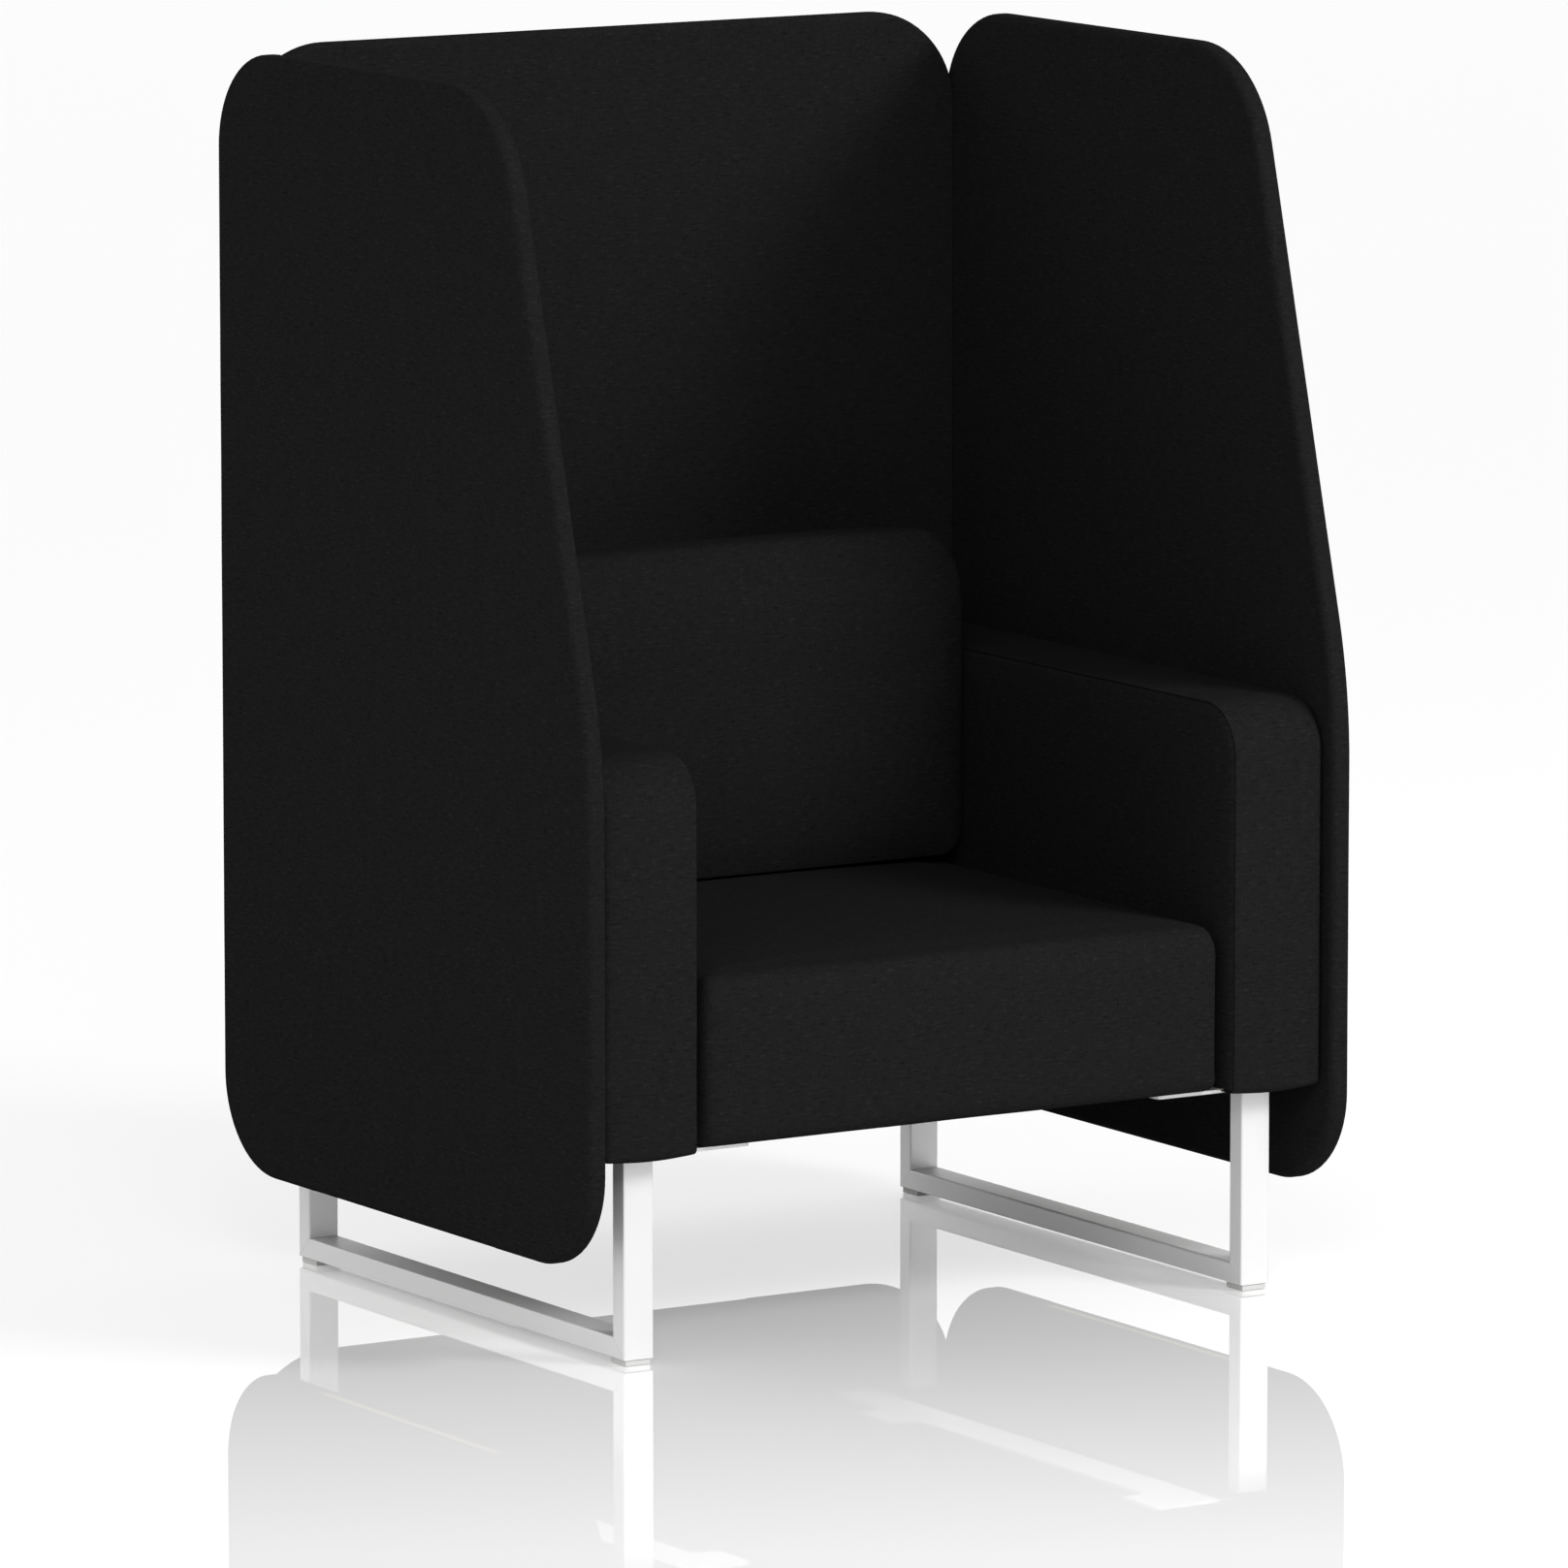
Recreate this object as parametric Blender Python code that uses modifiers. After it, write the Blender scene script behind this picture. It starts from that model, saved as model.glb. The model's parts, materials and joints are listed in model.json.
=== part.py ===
"""Single-seat privacy booth: upholstered screens, arms, seat and back on two sled leg frames.

Metres, +Z up, origin on the floor under the middle of the booth.
The front faces -Y and +X is on the right of someone who looks at the front.
"""
import math

import bmesh
import bpy
from mathutils import Vector

# Fits and clearances
FIT = 0.0003
HOLE_FIT = 0.0004
SOFT_GAP = 0.001
ARM_SCREEN_GAP = 0.0015
SEAT_SIDE_GAP = 0.0065
BACK_SIDE_GAP = 0.0005
BACK_SEAT_GAP = 0.0015
MITRE_GAP = FIT / 2

# Screens
BOOTH_WIDTH = 1.050
BOOTH_DEPTH = 0.854
SCREEN_BOTTOM = 0.119
SCREEN_TOP = 1.456
BACK_SCREEN_SETOUT = 0.007
SCREEN_BOARD = 0.018
SCREEN_PAD = 0.005
SCREEN_EDGE_ROUND = 0.008
SCREEN_CORNER = 0.116
SCREEN_FRONT_TOP_CORNER = 0.148
SCREEN_TOP_SETBACK = 0.1988
SCREEN_BEND_HEIGHT = 0.714
SCREEN_BEND_RADIUS = 0.65
COVER_SLOT_LENGTH = 0.42

# Arms
ARM_WIDTH = 0.133
ARM_TOP = 0.7055
ARM_FRONT_SETBACK = 0.015
ARM_FRONT_CORNER = 0.050
ARM_LOW_CORNER = 0.008
ARM_REAR_CORNER = 0.006
ARM_EDGE_ROUND = 0.006
ARM_CROWN = 0.003
ARM_INNER_CROWN = 0.002
ARM_INNER_CROWN_REACH = 0.15
ARM_FRONT_PAD = 0.025
ARM_INNER_PAD = 0.008
ARM_OUTER_PAD = 0.0045
CARCASS_PLY = 0.015

# Leg frames
LEG_HEIGHT = 0.2435
TUBE_WIDTH = 0.040
TUBE_DEPTH = 0.025
TUBE_WALL = 0.002
TUBE_CORNER = 0.002
LEG_SHIFT_INWARD = 0.0035
LEG_FRONT_SETBACK = 0.0375
LEG_REAR_SETBACK = 0.0225
FOOT_PAD_HEIGHT = 0.007
FOOT_PAD_LENGTH = 0.034
FOOT_PAD_INSET = 0.0035
FOOT_PAD_END = 0.0015
FOOT_PEG_RADIUS = 0.004
FOOT_PEG_LENGTH = 0.006

# Mounting plates
PLATE_THICK = 0.004
PLATE_STRIP_REACH = 0.048
PLATE_EAR_REACH = 0.082
PLATE_EAR_LENGTH = 0.072
PLATE_FRONT_MARGIN = 0.009
PLATE_REAR_MARGIN = 0.010
PLATE_REAR_EAR_SHIFT = 0.115
PLATE_FILLET = 0.012
PLATE_CORNER = 0.006
PLATE_SIDE_INSET = 0.001

# Seat
SEAT_THICK = 0.2012
SEAT_FRONT_SETBACK = 0.0075
SEAT_CROWN = 0.008
SEAT_CROWN_REACH = 0.25
SEAT_BULGE = 0.0015
SEAT_TOP_ROUND = 0.020
SEAT_TOP_ROUND_HEIGHT = 0.034
SEAT_LOW_ROUND = 0.008
SEAT_CORNER = 0.012
SEAT_SIDE_PAD = 0.029
SEAT_FRONT_PAD = 0.0225
SEAT_RAIL_THICK = 0.040
SEAT_RAIL_HEIGHT = 0.084
STRAP_COUNT = 4
STRAP_WIDTH = 0.070
STRAP_THICK = 0.002
STRAP_END = 0.004
CLOTH_THICK = 0.001

# Back cushion
BACK_CUSHION_THICK = 0.2745
BACK_CUSHION_HEIGHT = 0.393
BACK_CUSHION_TOP_CORNER = 0.055
BACK_CUSHION_LOW_CORNER = 0.032
BACK_CUSHION_SIDE_ROUND = 0.025
BACK_CUSHION_TOP_ROUND = 0.060
BACK_CUSHION_LOW_ROUND = 0.012
BACK_CUSHION_REAR_ROUND = 0.010
BACK_CUSHION_REAR_DROP = 0.045
BACK_CUSHION_CROWN = 0.014
BACK_CUSHION_CROWN_REACH = 0.13
BACK_CUSHION_PLY = 0.012
BACK_CUSHION_MARGIN = 0.035

# Fixings
SCREW_RADIUS = 0.003
SCREW_HEAD_RADIUS = 0.0062
SCREW_HEAD_HEIGHT = 0.003
SCREW_LAND = 0.0004
SCREW_REACH = 0.026
ARM_SCREW_REACH = 0.014
ARM_SCREW_INSET = 0.10
BOLT_RADIUS = 0.004
BOLT_HEAD_RADIUS = 0.0075
BOLT_HEAD_HEIGHT = 0.006
BOLT_BITE = 0.012
BOLT_FRONT_INSET = 0.16
BOLT_REAR_INSET = 0.17
DOWEL_RADIUS = 0.004
DOWEL_BACK_BITE = 0.036
DOWEL_INSET = 0.29
CLIP_RADIUS = 0.006
CLIP_BITE = 0.009
CLIP_INSET = 0.09
CLIP_SIDE_INSET = 0.11
CHAMFER = 0.001

# Derived places
SCREEN_THICK = SCREEN_BOARD + 2 * SCREEN_PAD
HALF_WIDTH = BOOTH_WIDTH / 2
SCREEN_INNER = HALF_WIDTH - SCREEN_THICK
FRONT = -BOOTH_DEPTH / 2
REAR = BOOTH_DEPTH / 2
SIDE_REAR = REAR - BACK_SCREEN_SETOUT
BACK_FACE = REAR - SCREEN_THICK
BACK_HALF = SCREEN_INNER - FIT
PLATE_TOP = LEG_HEIGHT + PLATE_THICK
UNDERSIDE = LEG_HEIGHT - FIT - CLOTH_THICK
ARM_OUTER = SCREEN_INNER - ARM_SCREEN_GAP
ARM_INNER = ARM_OUTER - ARM_WIDTH
ARM_FRONT = FRONT + ARM_FRONT_SETBACK
ARM_REAR = BACK_FACE - SOFT_GAP - ARM_CROWN
ARM_BOTTOM = UNDERSIDE + ARM_CROWN
ARM_BASE_TOP = PLATE_TOP + FIT + CARCASS_PLY
CARCASS_FRONT = ARM_FRONT + ARM_FRONT_PAD
CARCASS_REAR = BACK_FACE - SOFT_GAP
CARCASS_INNER = ARM_INNER + ARM_INNER_PAD
CARCASS_OUTER = ARM_OUTER - ARM_OUTER_PAD
CARCASS_BOTTOM = ARM_BASE_TOP + FIT
CARCASS_TOP = ARM_TOP - ARM_FRONT_PAD
CARCASS_CORNER = ARM_FRONT_CORNER - ARM_FRONT_PAD
LEG_MIDDLE = (ARM_INNER + ARM_OUTER) / 2 - LEG_SHIFT_INWARD
LEG_FRONT = ARM_FRONT + LEG_FRONT_SETBACK
LEG_REAR = BACK_FACE - LEG_REAR_SETBACK
PLATE_FRONT = LEG_FRONT - PLATE_FRONT_MARGIN
PLATE_REAR = LEG_REAR + PLATE_REAR_MARGIN
PLATE_OUTER = LEG_MIDDLE + TUBE_WIDTH / 2 - PLATE_SIDE_INSET
PLATE_STRIP_INNER = ARM_INNER - PLATE_STRIP_REACH
PLATE_EAR_INNER = ARM_INNER - PLATE_EAR_REACH
REAR_EAR_END = PLATE_REAR - PLATE_REAR_EAR_SHIFT
SEAT_BOTTOM = PLATE_TOP + FIT
SEAT_EDGE_TOP = SEAT_BOTTOM + SEAT_THICK
SEAT_HALF = ARM_INNER - SEAT_SIDE_GAP
SEAT_FRONT = ARM_FRONT + SEAT_FRONT_SETBACK
SEAT_REAR = BACK_FACE - SOFT_GAP - SEAT_BULGE
SEAT_FRAME_HALF = SEAT_HALF - SEAT_SIDE_PAD
SEAT_FRAME_FRONT = SEAT_FRONT + SEAT_FRONT_PAD
SEAT_FRAME_REAR = SEAT_REAR - SEAT_SIDE_PAD
SEAT_RAIL_BOTTOM = SEAT_BOTTOM + CLOTH_THICK + FIT
SEAT_RAIL_TOP = SEAT_RAIL_BOTTOM + SEAT_RAIL_HEIGHT
STRAP_TOP = SEAT_RAIL_TOP + FIT + STRAP_THICK
BACK_CUSHION_HALF = ARM_INNER - ARM_INNER_CROWN - BACK_SIDE_GAP
BACK_CUSHION_REAR = BACK_FACE - SOFT_GAP
BACK_CUSHION_FRONT = BACK_CUSHION_REAR - BACK_CUSHION_THICK
BACK_CUSHION_BOTTOM = SEAT_EDGE_TOP + SEAT_CROWN + BACK_SEAT_GAP
BACK_CUSHION_TOP = BACK_CUSHION_BOTTOM + BACK_CUSHION_HEIGHT

SIDES = ("left", "right")
ENDS = ("front", "rear")
CORNER_STEPS = 7
SMALL_CORNER = 0.02
SMALL_STEPS = 2
TURNED_STEPS = 12
CUSHION_STEPS = 6
CREST_STEPS = 4
SMALLEST_FILLET = 0.001
SHARP_ANGLE = math.radians(30.0)
WELD = 0.00001
PAST = 0.05

for old in list(bpy.data.objects):
    bpy.data.objects.remove(old, do_unlink=True)

parts = bpy.data.collections.new("privacy_booth")
cutters = bpy.data.collections.new("cutters")
bpy.context.scene.collection.children.link(parts)
bpy.context.scene.collection.children.link(cutters)
booth = bpy.data.objects.new("booth_origin", None)
parts.objects.link(booth)


def make_material(name, colour, roughness, metallic=0.0):
    """Principled material with one colour."""
    made = bpy.data.materials.new(name)
    made.use_nodes = True
    shader = made.node_tree.nodes["Principled BSDF"]
    shader.inputs["Base Color"].default_value = (*colour, 1.0)
    shader.inputs["Roughness"].default_value = roughness
    shader.inputs["Metallic"].default_value = metallic
    return made


FABRIC = make_material("black_upholstery_fabric", (0.012, 0.012, 0.013), 0.95)
CLOTH = make_material("black_underside_cloth", (0.016, 0.016, 0.016), 1.0)
PAINT = make_material("white_painted_steel", (0.86, 0.86, 0.86), 0.28)
PLY = make_material("birch_plywood", (0.62, 0.47, 0.30), 0.65)
TIMBER = make_material("beech_timber", (0.55, 0.36, 0.20), 0.6)
WEBBING = make_material("grey_elastic_webbing", (0.12, 0.12, 0.13), 0.9)
STEEL = make_material("zinc_plated_steel", (0.62, 0.63, 0.64), 0.35, 1.0)
FOOT = make_material("white_nylon", (0.74, 0.74, 0.73), 0.45)
CLIP = make_material("black_nylon", (0.03, 0.03, 0.03), 0.5)


def rounded_outline(corners, radii, inset=0.0):
    """Closed outline with rounded corners, moved inward by inset. Corners run anticlockwise."""
    count = len(corners)
    lines = []
    for i in range(count):
        start = Vector(corners[i])
        along = (Vector(corners[(i + 1) % count]) - start).normalized()
        lines.append((start + Vector((-along.y, along.x)) * inset, along))
    points = []
    for i in range(count):
        p, d = lines[i - 1]
        q, e = lines[i]
        gap = q - p
        corner = p + d * ((gap.x * e.y - gap.y * e.x) / (d.x * e.y - d.y * e.x))
        turn = math.atan2(d.x * e.y - d.y * e.x, d.dot(e))
        side = math.copysign(1.0, turn)
        radius = max(radii[i] - inset * side, SMALLEST_FILLET)
        steps = max(2, round(abs(turn) / (math.pi / 2) * CORNER_STEPS))
        if radii[i] < SMALL_CORNER:
            steps = SMALL_STEPS
        spoke = Vector((d.y, -d.x)) * side
        centre = corner - d * (radius * math.tan(abs(turn) / 2)) - spoke * radius
        for k in range(steps + 1):
            swing = turn * k / steps
            points.append(centre + radius * Vector((
                spoke.x * math.cos(swing) - spoke.y * math.sin(swing),
                spoke.x * math.sin(swing) + spoke.y * math.cos(swing))))
    return points


def rectangle(left, low, right, high):
    """Corners of a rectangle, anticlockwise."""
    return [(left, low), (right, low), (right, high), (left, high)]


def along_y(u, v, h):
    """Outline in X and Z, thickness along Y."""
    return (u, h, v)


def along_z(u, v, h):
    """Outline in X and Y, thickness along Z."""
    return (u, v, h)


def mirror(side_name):
    """Direction of one side along X."""
    return 1 if side_name == "right" else -1


def sideways(sign):
    """Outline in Y and Z, thickness along X, on the left or the right."""
    return lambda u, v, h: (sign * h, u, v)


def flat(sign):
    """Outline in X and Y, thickness along Z, on the left or the right."""
    return lambda u, v, h: (sign * u, v, h)


def finish(name, mesh, material):
    """Object in its collection with its origin at its middle. Without a material it is a cutter."""
    made = bpy.data.objects.new(name, mesh)
    if material is None:
        cutters.objects.link(made)
        made.hide_render = True
        made.display_type = "WIRE"
        return made
    parts.objects.link(made)
    made.parent = booth
    mesh.materials.append(material)
    return made


def centred(name, work, material):
    """Object from a bmesh, placed by its location."""
    work.normal_update()
    bmesh.ops.recalc_face_normals(work, faces=work.faces)
    low = Vector([min(v.co[i] for v in work.verts) for i in range(3)])
    high = Vector([max(v.co[i] for v in work.verts) for i in range(3)])
    middle = (low + high) / 2
    bmesh.ops.translate(work, verts=work.verts, vec=-middle)
    mesh = bpy.data.meshes.new(name)
    work.to_mesh(mesh)
    work.free()
    mesh.shade_smooth()
    mesh.set_sharp_from_angle(angle=SHARP_ANGLE)
    made = finish(name, mesh, material)
    made.location = middle
    return made


def sheet(name, outline, low, high, place, material=None, edge=0.0):
    """Flat piece from a filled outline; edge rounds its rim."""
    drawing = bpy.data.curves.new(name, "CURVE")
    drawing.dimensions = "2D"
    drawing.fill_mode = "BOTH"
    drawing.extrude = (high - low) / 2 - edge
    drawing.bevel_depth = edge
    drawing.bevel_resolution = 2
    drawing.offset = -edge
    spline = drawing.splines.new("POLY")
    spline.points.add(len(outline) - 1)
    for knot, point in zip(spline.points, outline):
        knot.co = (point.x, point.y, 0.0, 1.0)
    spline.use_cyclic_u = True
    guide = bpy.data.objects.new(name + "_outline", drawing)
    cutters.objects.link(guide)
    filled = guide.evaluated_get(bpy.context.evaluated_depsgraph_get())
    work = bmesh.new()
    work.from_mesh(bpy.data.meshes.new_from_object(filled))
    bpy.data.objects.remove(guide, do_unlink=True)
    bmesh.ops.remove_doubles(work, verts=work.verts, dist=WELD)
    for vert in work.verts:
        vert.co = place(vert.co.x, vert.co.y, vert.co.z + (low + high) / 2)
    return centred(name, work, material)


def loft(name, sections, place, material):
    """Soft body lofted through its sections; each is an outline and its height."""
    work = bmesh.new()
    rings = []
    for outline, height in sections:
        rings.append([work.verts.new(place(p.x, p.y, height)) for p in outline])
    for low, high in zip(rings, rings[1:]):
        for i in range(len(low)):
            j = (i + 1) % len(low)
            work.faces.new((low[i], low[j], high[j], high[i]))
    work.faces.new(rings[0])
    work.faces.new(rings[-1])
    return centred(name, work, material)


def inset_sections(corners, radii, profile):
    """Sections of one outline; profile lists inset and height pairs."""
    return [(rounded_outline(corners, radii, inset), height) for inset, height in profile]


def block(name, low, high, material=None, bevel=0.0):
    """Box between two corners given in any order, with rounded edges where a bevel is given."""
    work = bmesh.new()
    bmesh.ops.create_cube(work, size=1.0)
    size = [abs(high[i] - low[i]) for i in range(3)]
    middle = [(high[i] + low[i]) / 2 for i in range(3)]
    bmesh.ops.scale(work, verts=work.verts, vec=size)
    bmesh.ops.translate(work, verts=work.verts, vec=middle)
    made = centred(name, work, material)
    if bevel:
        rounding = made.modifiers.new("rounded_edges", "BEVEL")
        rounding.width = bevel
        rounding.segments = 2
        rounding.limit_method = "NONE"
    return made


def turned(name, start, axis, profile, material=None):
    """Turned body; profile lists distance along the axis and radius, from the start."""
    points = [(0.0, profile[0][0])]
    points += [(radius, along) for along, radius in profile]
    points += [(0.0, profile[-1][0])]
    mesh = bpy.data.meshes.new(name)
    mesh.from_pydata([(radius, 0.0, along) for radius, along in reversed(points)],
                     [(i, i + 1) for i in range(len(points) - 1)], [])
    made = finish(name, mesh, material)
    spin = made.modifiers.new("turning", "SCREW")
    spin.steps = TURNED_STEPS
    spin.render_steps = TURNED_STEPS
    spin.use_merge_vertices = True
    spin.merge_threshold = WELD
    made.rotation_mode = "QUATERNION"
    made.rotation_quaternion = Vector((0, 0, 1)).rotation_difference(Vector(axis))
    made.location = start
    return made


def cut(target, cutter, how="DIFFERENCE"):
    """Boolean of a part with a cutter."""
    step = target.modifiers.new(how.lower() + "_" + cutter.name, "BOOLEAN")
    step.operation = how
    step.object = cutter


def drill(targets, name, start, axis, depth, radius):
    """One round hole through several parts."""
    tool = turned(name, start, axis, ((0.0, radius), (depth, radius)))
    for target in targets:
        cut(target, tool)


def quarter(radius, steps, rise=None):
    """Inset and rise of a quarter round, from the flat face outward."""
    pairs = []
    for k in range(steps + 1):
        swing = math.pi / 2 * k / steps
        pairs.append((radius * (1 - math.sin(swing)), (rise or radius) * (1 - math.cos(swing))))
    return pairs


def round_inset(radius, depth):
    """Inset of a rounded edge at a depth behind its front face."""
    if depth >= radius:
        return 0.0
    return radius - math.sqrt(radius ** 2 - (radius - depth) ** 2)


def crown(start, reach, level, rise, steps):
    """Insets and heights of a crowned face that swells from its edge to its middle."""
    return [(start + reach * k / steps, level + rise * math.sin(math.pi / 2 * k / steps))
            for k in range(1, steps + 1)]


def tube(name, low, high, axis):
    """Hollow rectangular tube with open ends, run along one axis."""
    work = bmesh.new()
    bmesh.ops.create_cube(work, size=1.0)
    ends = [face for face in work.faces if abs(face.normal[axis]) > 0.5]
    bmesh.ops.delete(work, geom=ends, context="FACES_ONLY")
    bmesh.ops.scale(work, verts=work.verts, vec=[high[i] - low[i] for i in range(3)])
    bmesh.ops.translate(work, verts=work.verts, vec=[(high[i] + low[i]) / 2 for i in range(3)])
    made = centred(name, work, PAINT)
    corners = made.modifiers.new("tube_corners", "BEVEL")
    corners.width = TUBE_CORNER
    corners.segments = 2
    wall = made.modifiers.new("tube_wall", "SOLIDIFY")
    wall.thickness = TUBE_WALL
    wall.offset = -1.0
    return made


def mitre(target, name, sign, y, toward_rear, keep_above):
    """Saw cut at 45 degrees through a floor corner of a leg frame."""
    span = TUBE_DEPTH * 4
    work = bmesh.new()
    bmesh.ops.create_cube(work, size=span)
    shift = span / 2 - MITRE_GAP
    tilt = 1.0 if keep_above else -1.0
    normal = Vector((0.0, tilt * toward_rear, -tilt)) / math.sqrt(2)
    for vert in work.verts:
        a, b = vert.co.y, vert.co.z
        vert.co.y = (a * normal.y - b * normal.z)
        vert.co.z = (a * normal.z + b * normal.y)
    tool = centred(name, work, None)
    tool.location = Vector((sign * LEG_MIDDLE, y, FOOT_PAD_HEIGHT)) + normal * shift
    cut(target, tool)


# Leg frames of hollow tube with mitred floor corners, on push-in foot pads
for side_name in SIDES:
    sign = mirror(side_name)
    inner = sign * LEG_MIDDLE - TUBE_WIDTH / 2
    outer = sign * LEG_MIDDLE + TUBE_WIDTH / 2
    rail = tube(side_name + "_floor_rail", (inner, LEG_FRONT, FOOT_PAD_HEIGHT),
                (outer, LEG_REAR, FOOT_PAD_HEIGHT + TUBE_DEPTH), 1)
    for end_name, y, toward_rear in zip(ENDS, (LEG_FRONT, LEG_REAR), (1.0, -1.0)):
        stem = side_name + "_" + end_name
        upright_edges = sorted((y, y + toward_rear * TUBE_DEPTH))
        upright = tube(stem + "_upright", (inner, upright_edges[0], FOOT_PAD_HEIGHT),
                       (outer, upright_edges[1], LEG_HEIGHT - FIT), 2)
        mitre(rail, stem + "_rail_mitre", sign, y, toward_rear, False)
        mitre(upright, stem + "_upright_mitre", sign, y, toward_rear, True)
        pad_start = y + toward_rear * FOOT_PAD_END
        pad_end = pad_start + toward_rear * FOOT_PAD_LENGTH
        pad_top = FOOT_PAD_HEIGHT - FIT
        pad_middle = (sign * LEG_MIDDLE, (pad_start + pad_end) / 2, pad_top / 2)
        pad = block(stem + "_foot_pad", (inner + FOOT_PAD_INSET, pad_start, 0.0),
                    (outer - FOOT_PAD_INSET, pad_end, pad_top), FOOT, CHAMFER)
        peg_top = pad_top / 2 + FOOT_PEG_LENGTH
        cut(pad, turned(stem + "_peg", pad_middle, (0, 0, 1),
                        ((0.0, FOOT_PEG_RADIUS), (peg_top, FOOT_PEG_RADIUS))), "UNION")
        drill((rail,), stem + "_peg_hole", pad_middle, (0, 0, 1), peg_top + FIT, FOOT_PEG_RADIUS + HOLE_FIT)

# Mounting plates: a strip over the uprights with two ears under the seat
plates = {}
for side_name in SIDES:
    sign = mirror(side_name)
    plate_corners = [
        (PLATE_OUTER, PLATE_FRONT), (PLATE_OUTER, PLATE_REAR),
        (PLATE_STRIP_INNER, PLATE_REAR), (PLATE_STRIP_INNER, REAR_EAR_END),
        (PLATE_EAR_INNER, REAR_EAR_END), (PLATE_EAR_INNER, REAR_EAR_END - PLATE_EAR_LENGTH),
        (PLATE_STRIP_INNER, REAR_EAR_END - PLATE_EAR_LENGTH),
        (PLATE_STRIP_INNER, PLATE_FRONT + PLATE_EAR_LENGTH),
        (PLATE_EAR_INNER, PLATE_FRONT + PLATE_EAR_LENGTH), (PLATE_EAR_INNER, PLATE_FRONT)]
    plate_radii = [PLATE_CORNER] * len(plate_corners)
    for inside in (3, 6, 7):
        plate_radii[inside] = PLATE_FILLET
    plates[side_name] = sheet(side_name + "_mounting_plate", rounded_outline(plate_corners, plate_radii),
                              LEG_HEIGHT, PLATE_TOP, flat(sign), PAINT)

# Seat frame of timber rails, with elastic webbing and a cloth below
rail_inner = SEAT_FRAME_HALF - SEAT_RAIL_THICK
rail_front = SEAT_FRAME_FRONT + SEAT_RAIL_THICK
rail_rear = SEAT_FRAME_REAR - SEAT_RAIL_THICK
seat_rails = {
    "front": block("seat_front_rail", (-SEAT_FRAME_HALF, SEAT_FRAME_FRONT, SEAT_RAIL_BOTTOM),
                   (SEAT_FRAME_HALF, rail_front, SEAT_RAIL_TOP), TIMBER, 2 * CHAMFER),
    "rear": block("seat_rear_rail", (-SEAT_FRAME_HALF, rail_rear, SEAT_RAIL_BOTTOM),
                  (SEAT_FRAME_HALF, SEAT_FRAME_REAR, SEAT_RAIL_TOP), TIMBER, 2 * CHAMFER)}
for side_name in SIDES:
    sign = mirror(side_name)
    seat_rails[side_name] = block(
        "seat_" + side_name + "_rail", (sign * SEAT_FRAME_HALF, rail_front + FIT, SEAT_RAIL_BOTTOM),
        (sign * rail_inner, rail_rear - FIT, SEAT_RAIL_TOP), TIMBER, 2 * CHAMFER)
for number in range(STRAP_COUNT):
    strap_x = rail_inner * ((2 * number + 1) / STRAP_COUNT - 1)
    block("seat_webbing_strap_%d" % (number + 1),
          (strap_x - STRAP_WIDTH / 2, SEAT_FRAME_FRONT + STRAP_END, SEAT_RAIL_TOP + FIT),
          (strap_x + STRAP_WIDTH / 2, SEAT_FRAME_REAR - STRAP_END, STRAP_TOP), WEBBING)
seat_cloth = block("seat_underside_cloth", (-SEAT_FRAME_HALF, SEAT_FRAME_FRONT, SEAT_BOTTOM),
                   (SEAT_FRAME_HALF, SEAT_FRAME_REAR, SEAT_BOTTOM + CLOTH_THICK), CLOTH)

# Seat cushion: crowned top, sides that swell a little, and a pocket below for the frame
seat_profile = [(inset, SEAT_BOTTOM + rise) for inset, rise in quarter(SEAT_LOW_ROUND, 2)]
seat_profile += [(-SEAT_BULGE, (SEAT_BOTTOM + SEAT_EDGE_TOP) / 2)]
seat_profile += [(inset, SEAT_EDGE_TOP - rise)
                 for inset, rise in reversed(quarter(SEAT_TOP_ROUND, 4, SEAT_TOP_ROUND_HEIGHT))]
seat_profile += crown(SEAT_TOP_ROUND, SEAT_CROWN_REACH, SEAT_EDGE_TOP, SEAT_CROWN, 5)
seat_sections = inset_sections(rectangle(-SEAT_HALF, SEAT_FRONT, SEAT_HALF, SEAT_REAR),
                               [SEAT_CORNER] * 4, seat_profile)
seat_cushion = loft("seat_cushion", seat_sections, along_z, FABRIC)
cut(seat_cushion, block("seat_pocket", (-SEAT_FRAME_HALF - FIT, SEAT_FRAME_FRONT - FIT, SEAT_BOTTOM - PAST),
                        (SEAT_FRAME_HALF + FIT, SEAT_FRAME_REAR + FIT, STRAP_TOP + FIT)))


def plate_screw(name, x, y, reach, holders):
    """Countersunk screw from below, flush with the plate, and its hole in each holder."""
    wide = SCREW_HEAD_RADIUS + HOLE_FIT
    narrow = SCREW_RADIUS + HOLE_FIT
    head = (x, y, LEG_HEIGHT + FIT)
    turned(name, head, (0, 0, 1),
           ((0.0, SCREW_HEAD_RADIUS), (SCREW_LAND, SCREW_HEAD_RADIUS), (SCREW_HEAD_HEIGHT, SCREW_RADIUS),
            (reach - CHAMFER, SCREW_RADIUS), (reach, SCREW_RADIUS - CHAMFER)), STEEL)
    hole = turned(name + "_hole", head, (0, 0, 1),
                  ((-PLATE_THICK, wide), (SCREW_LAND, wide),
                   (SCREW_HEAD_HEIGHT, narrow), (reach + FIT, narrow)))
    for holder in holders:
        cut(holder, hole)


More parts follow.
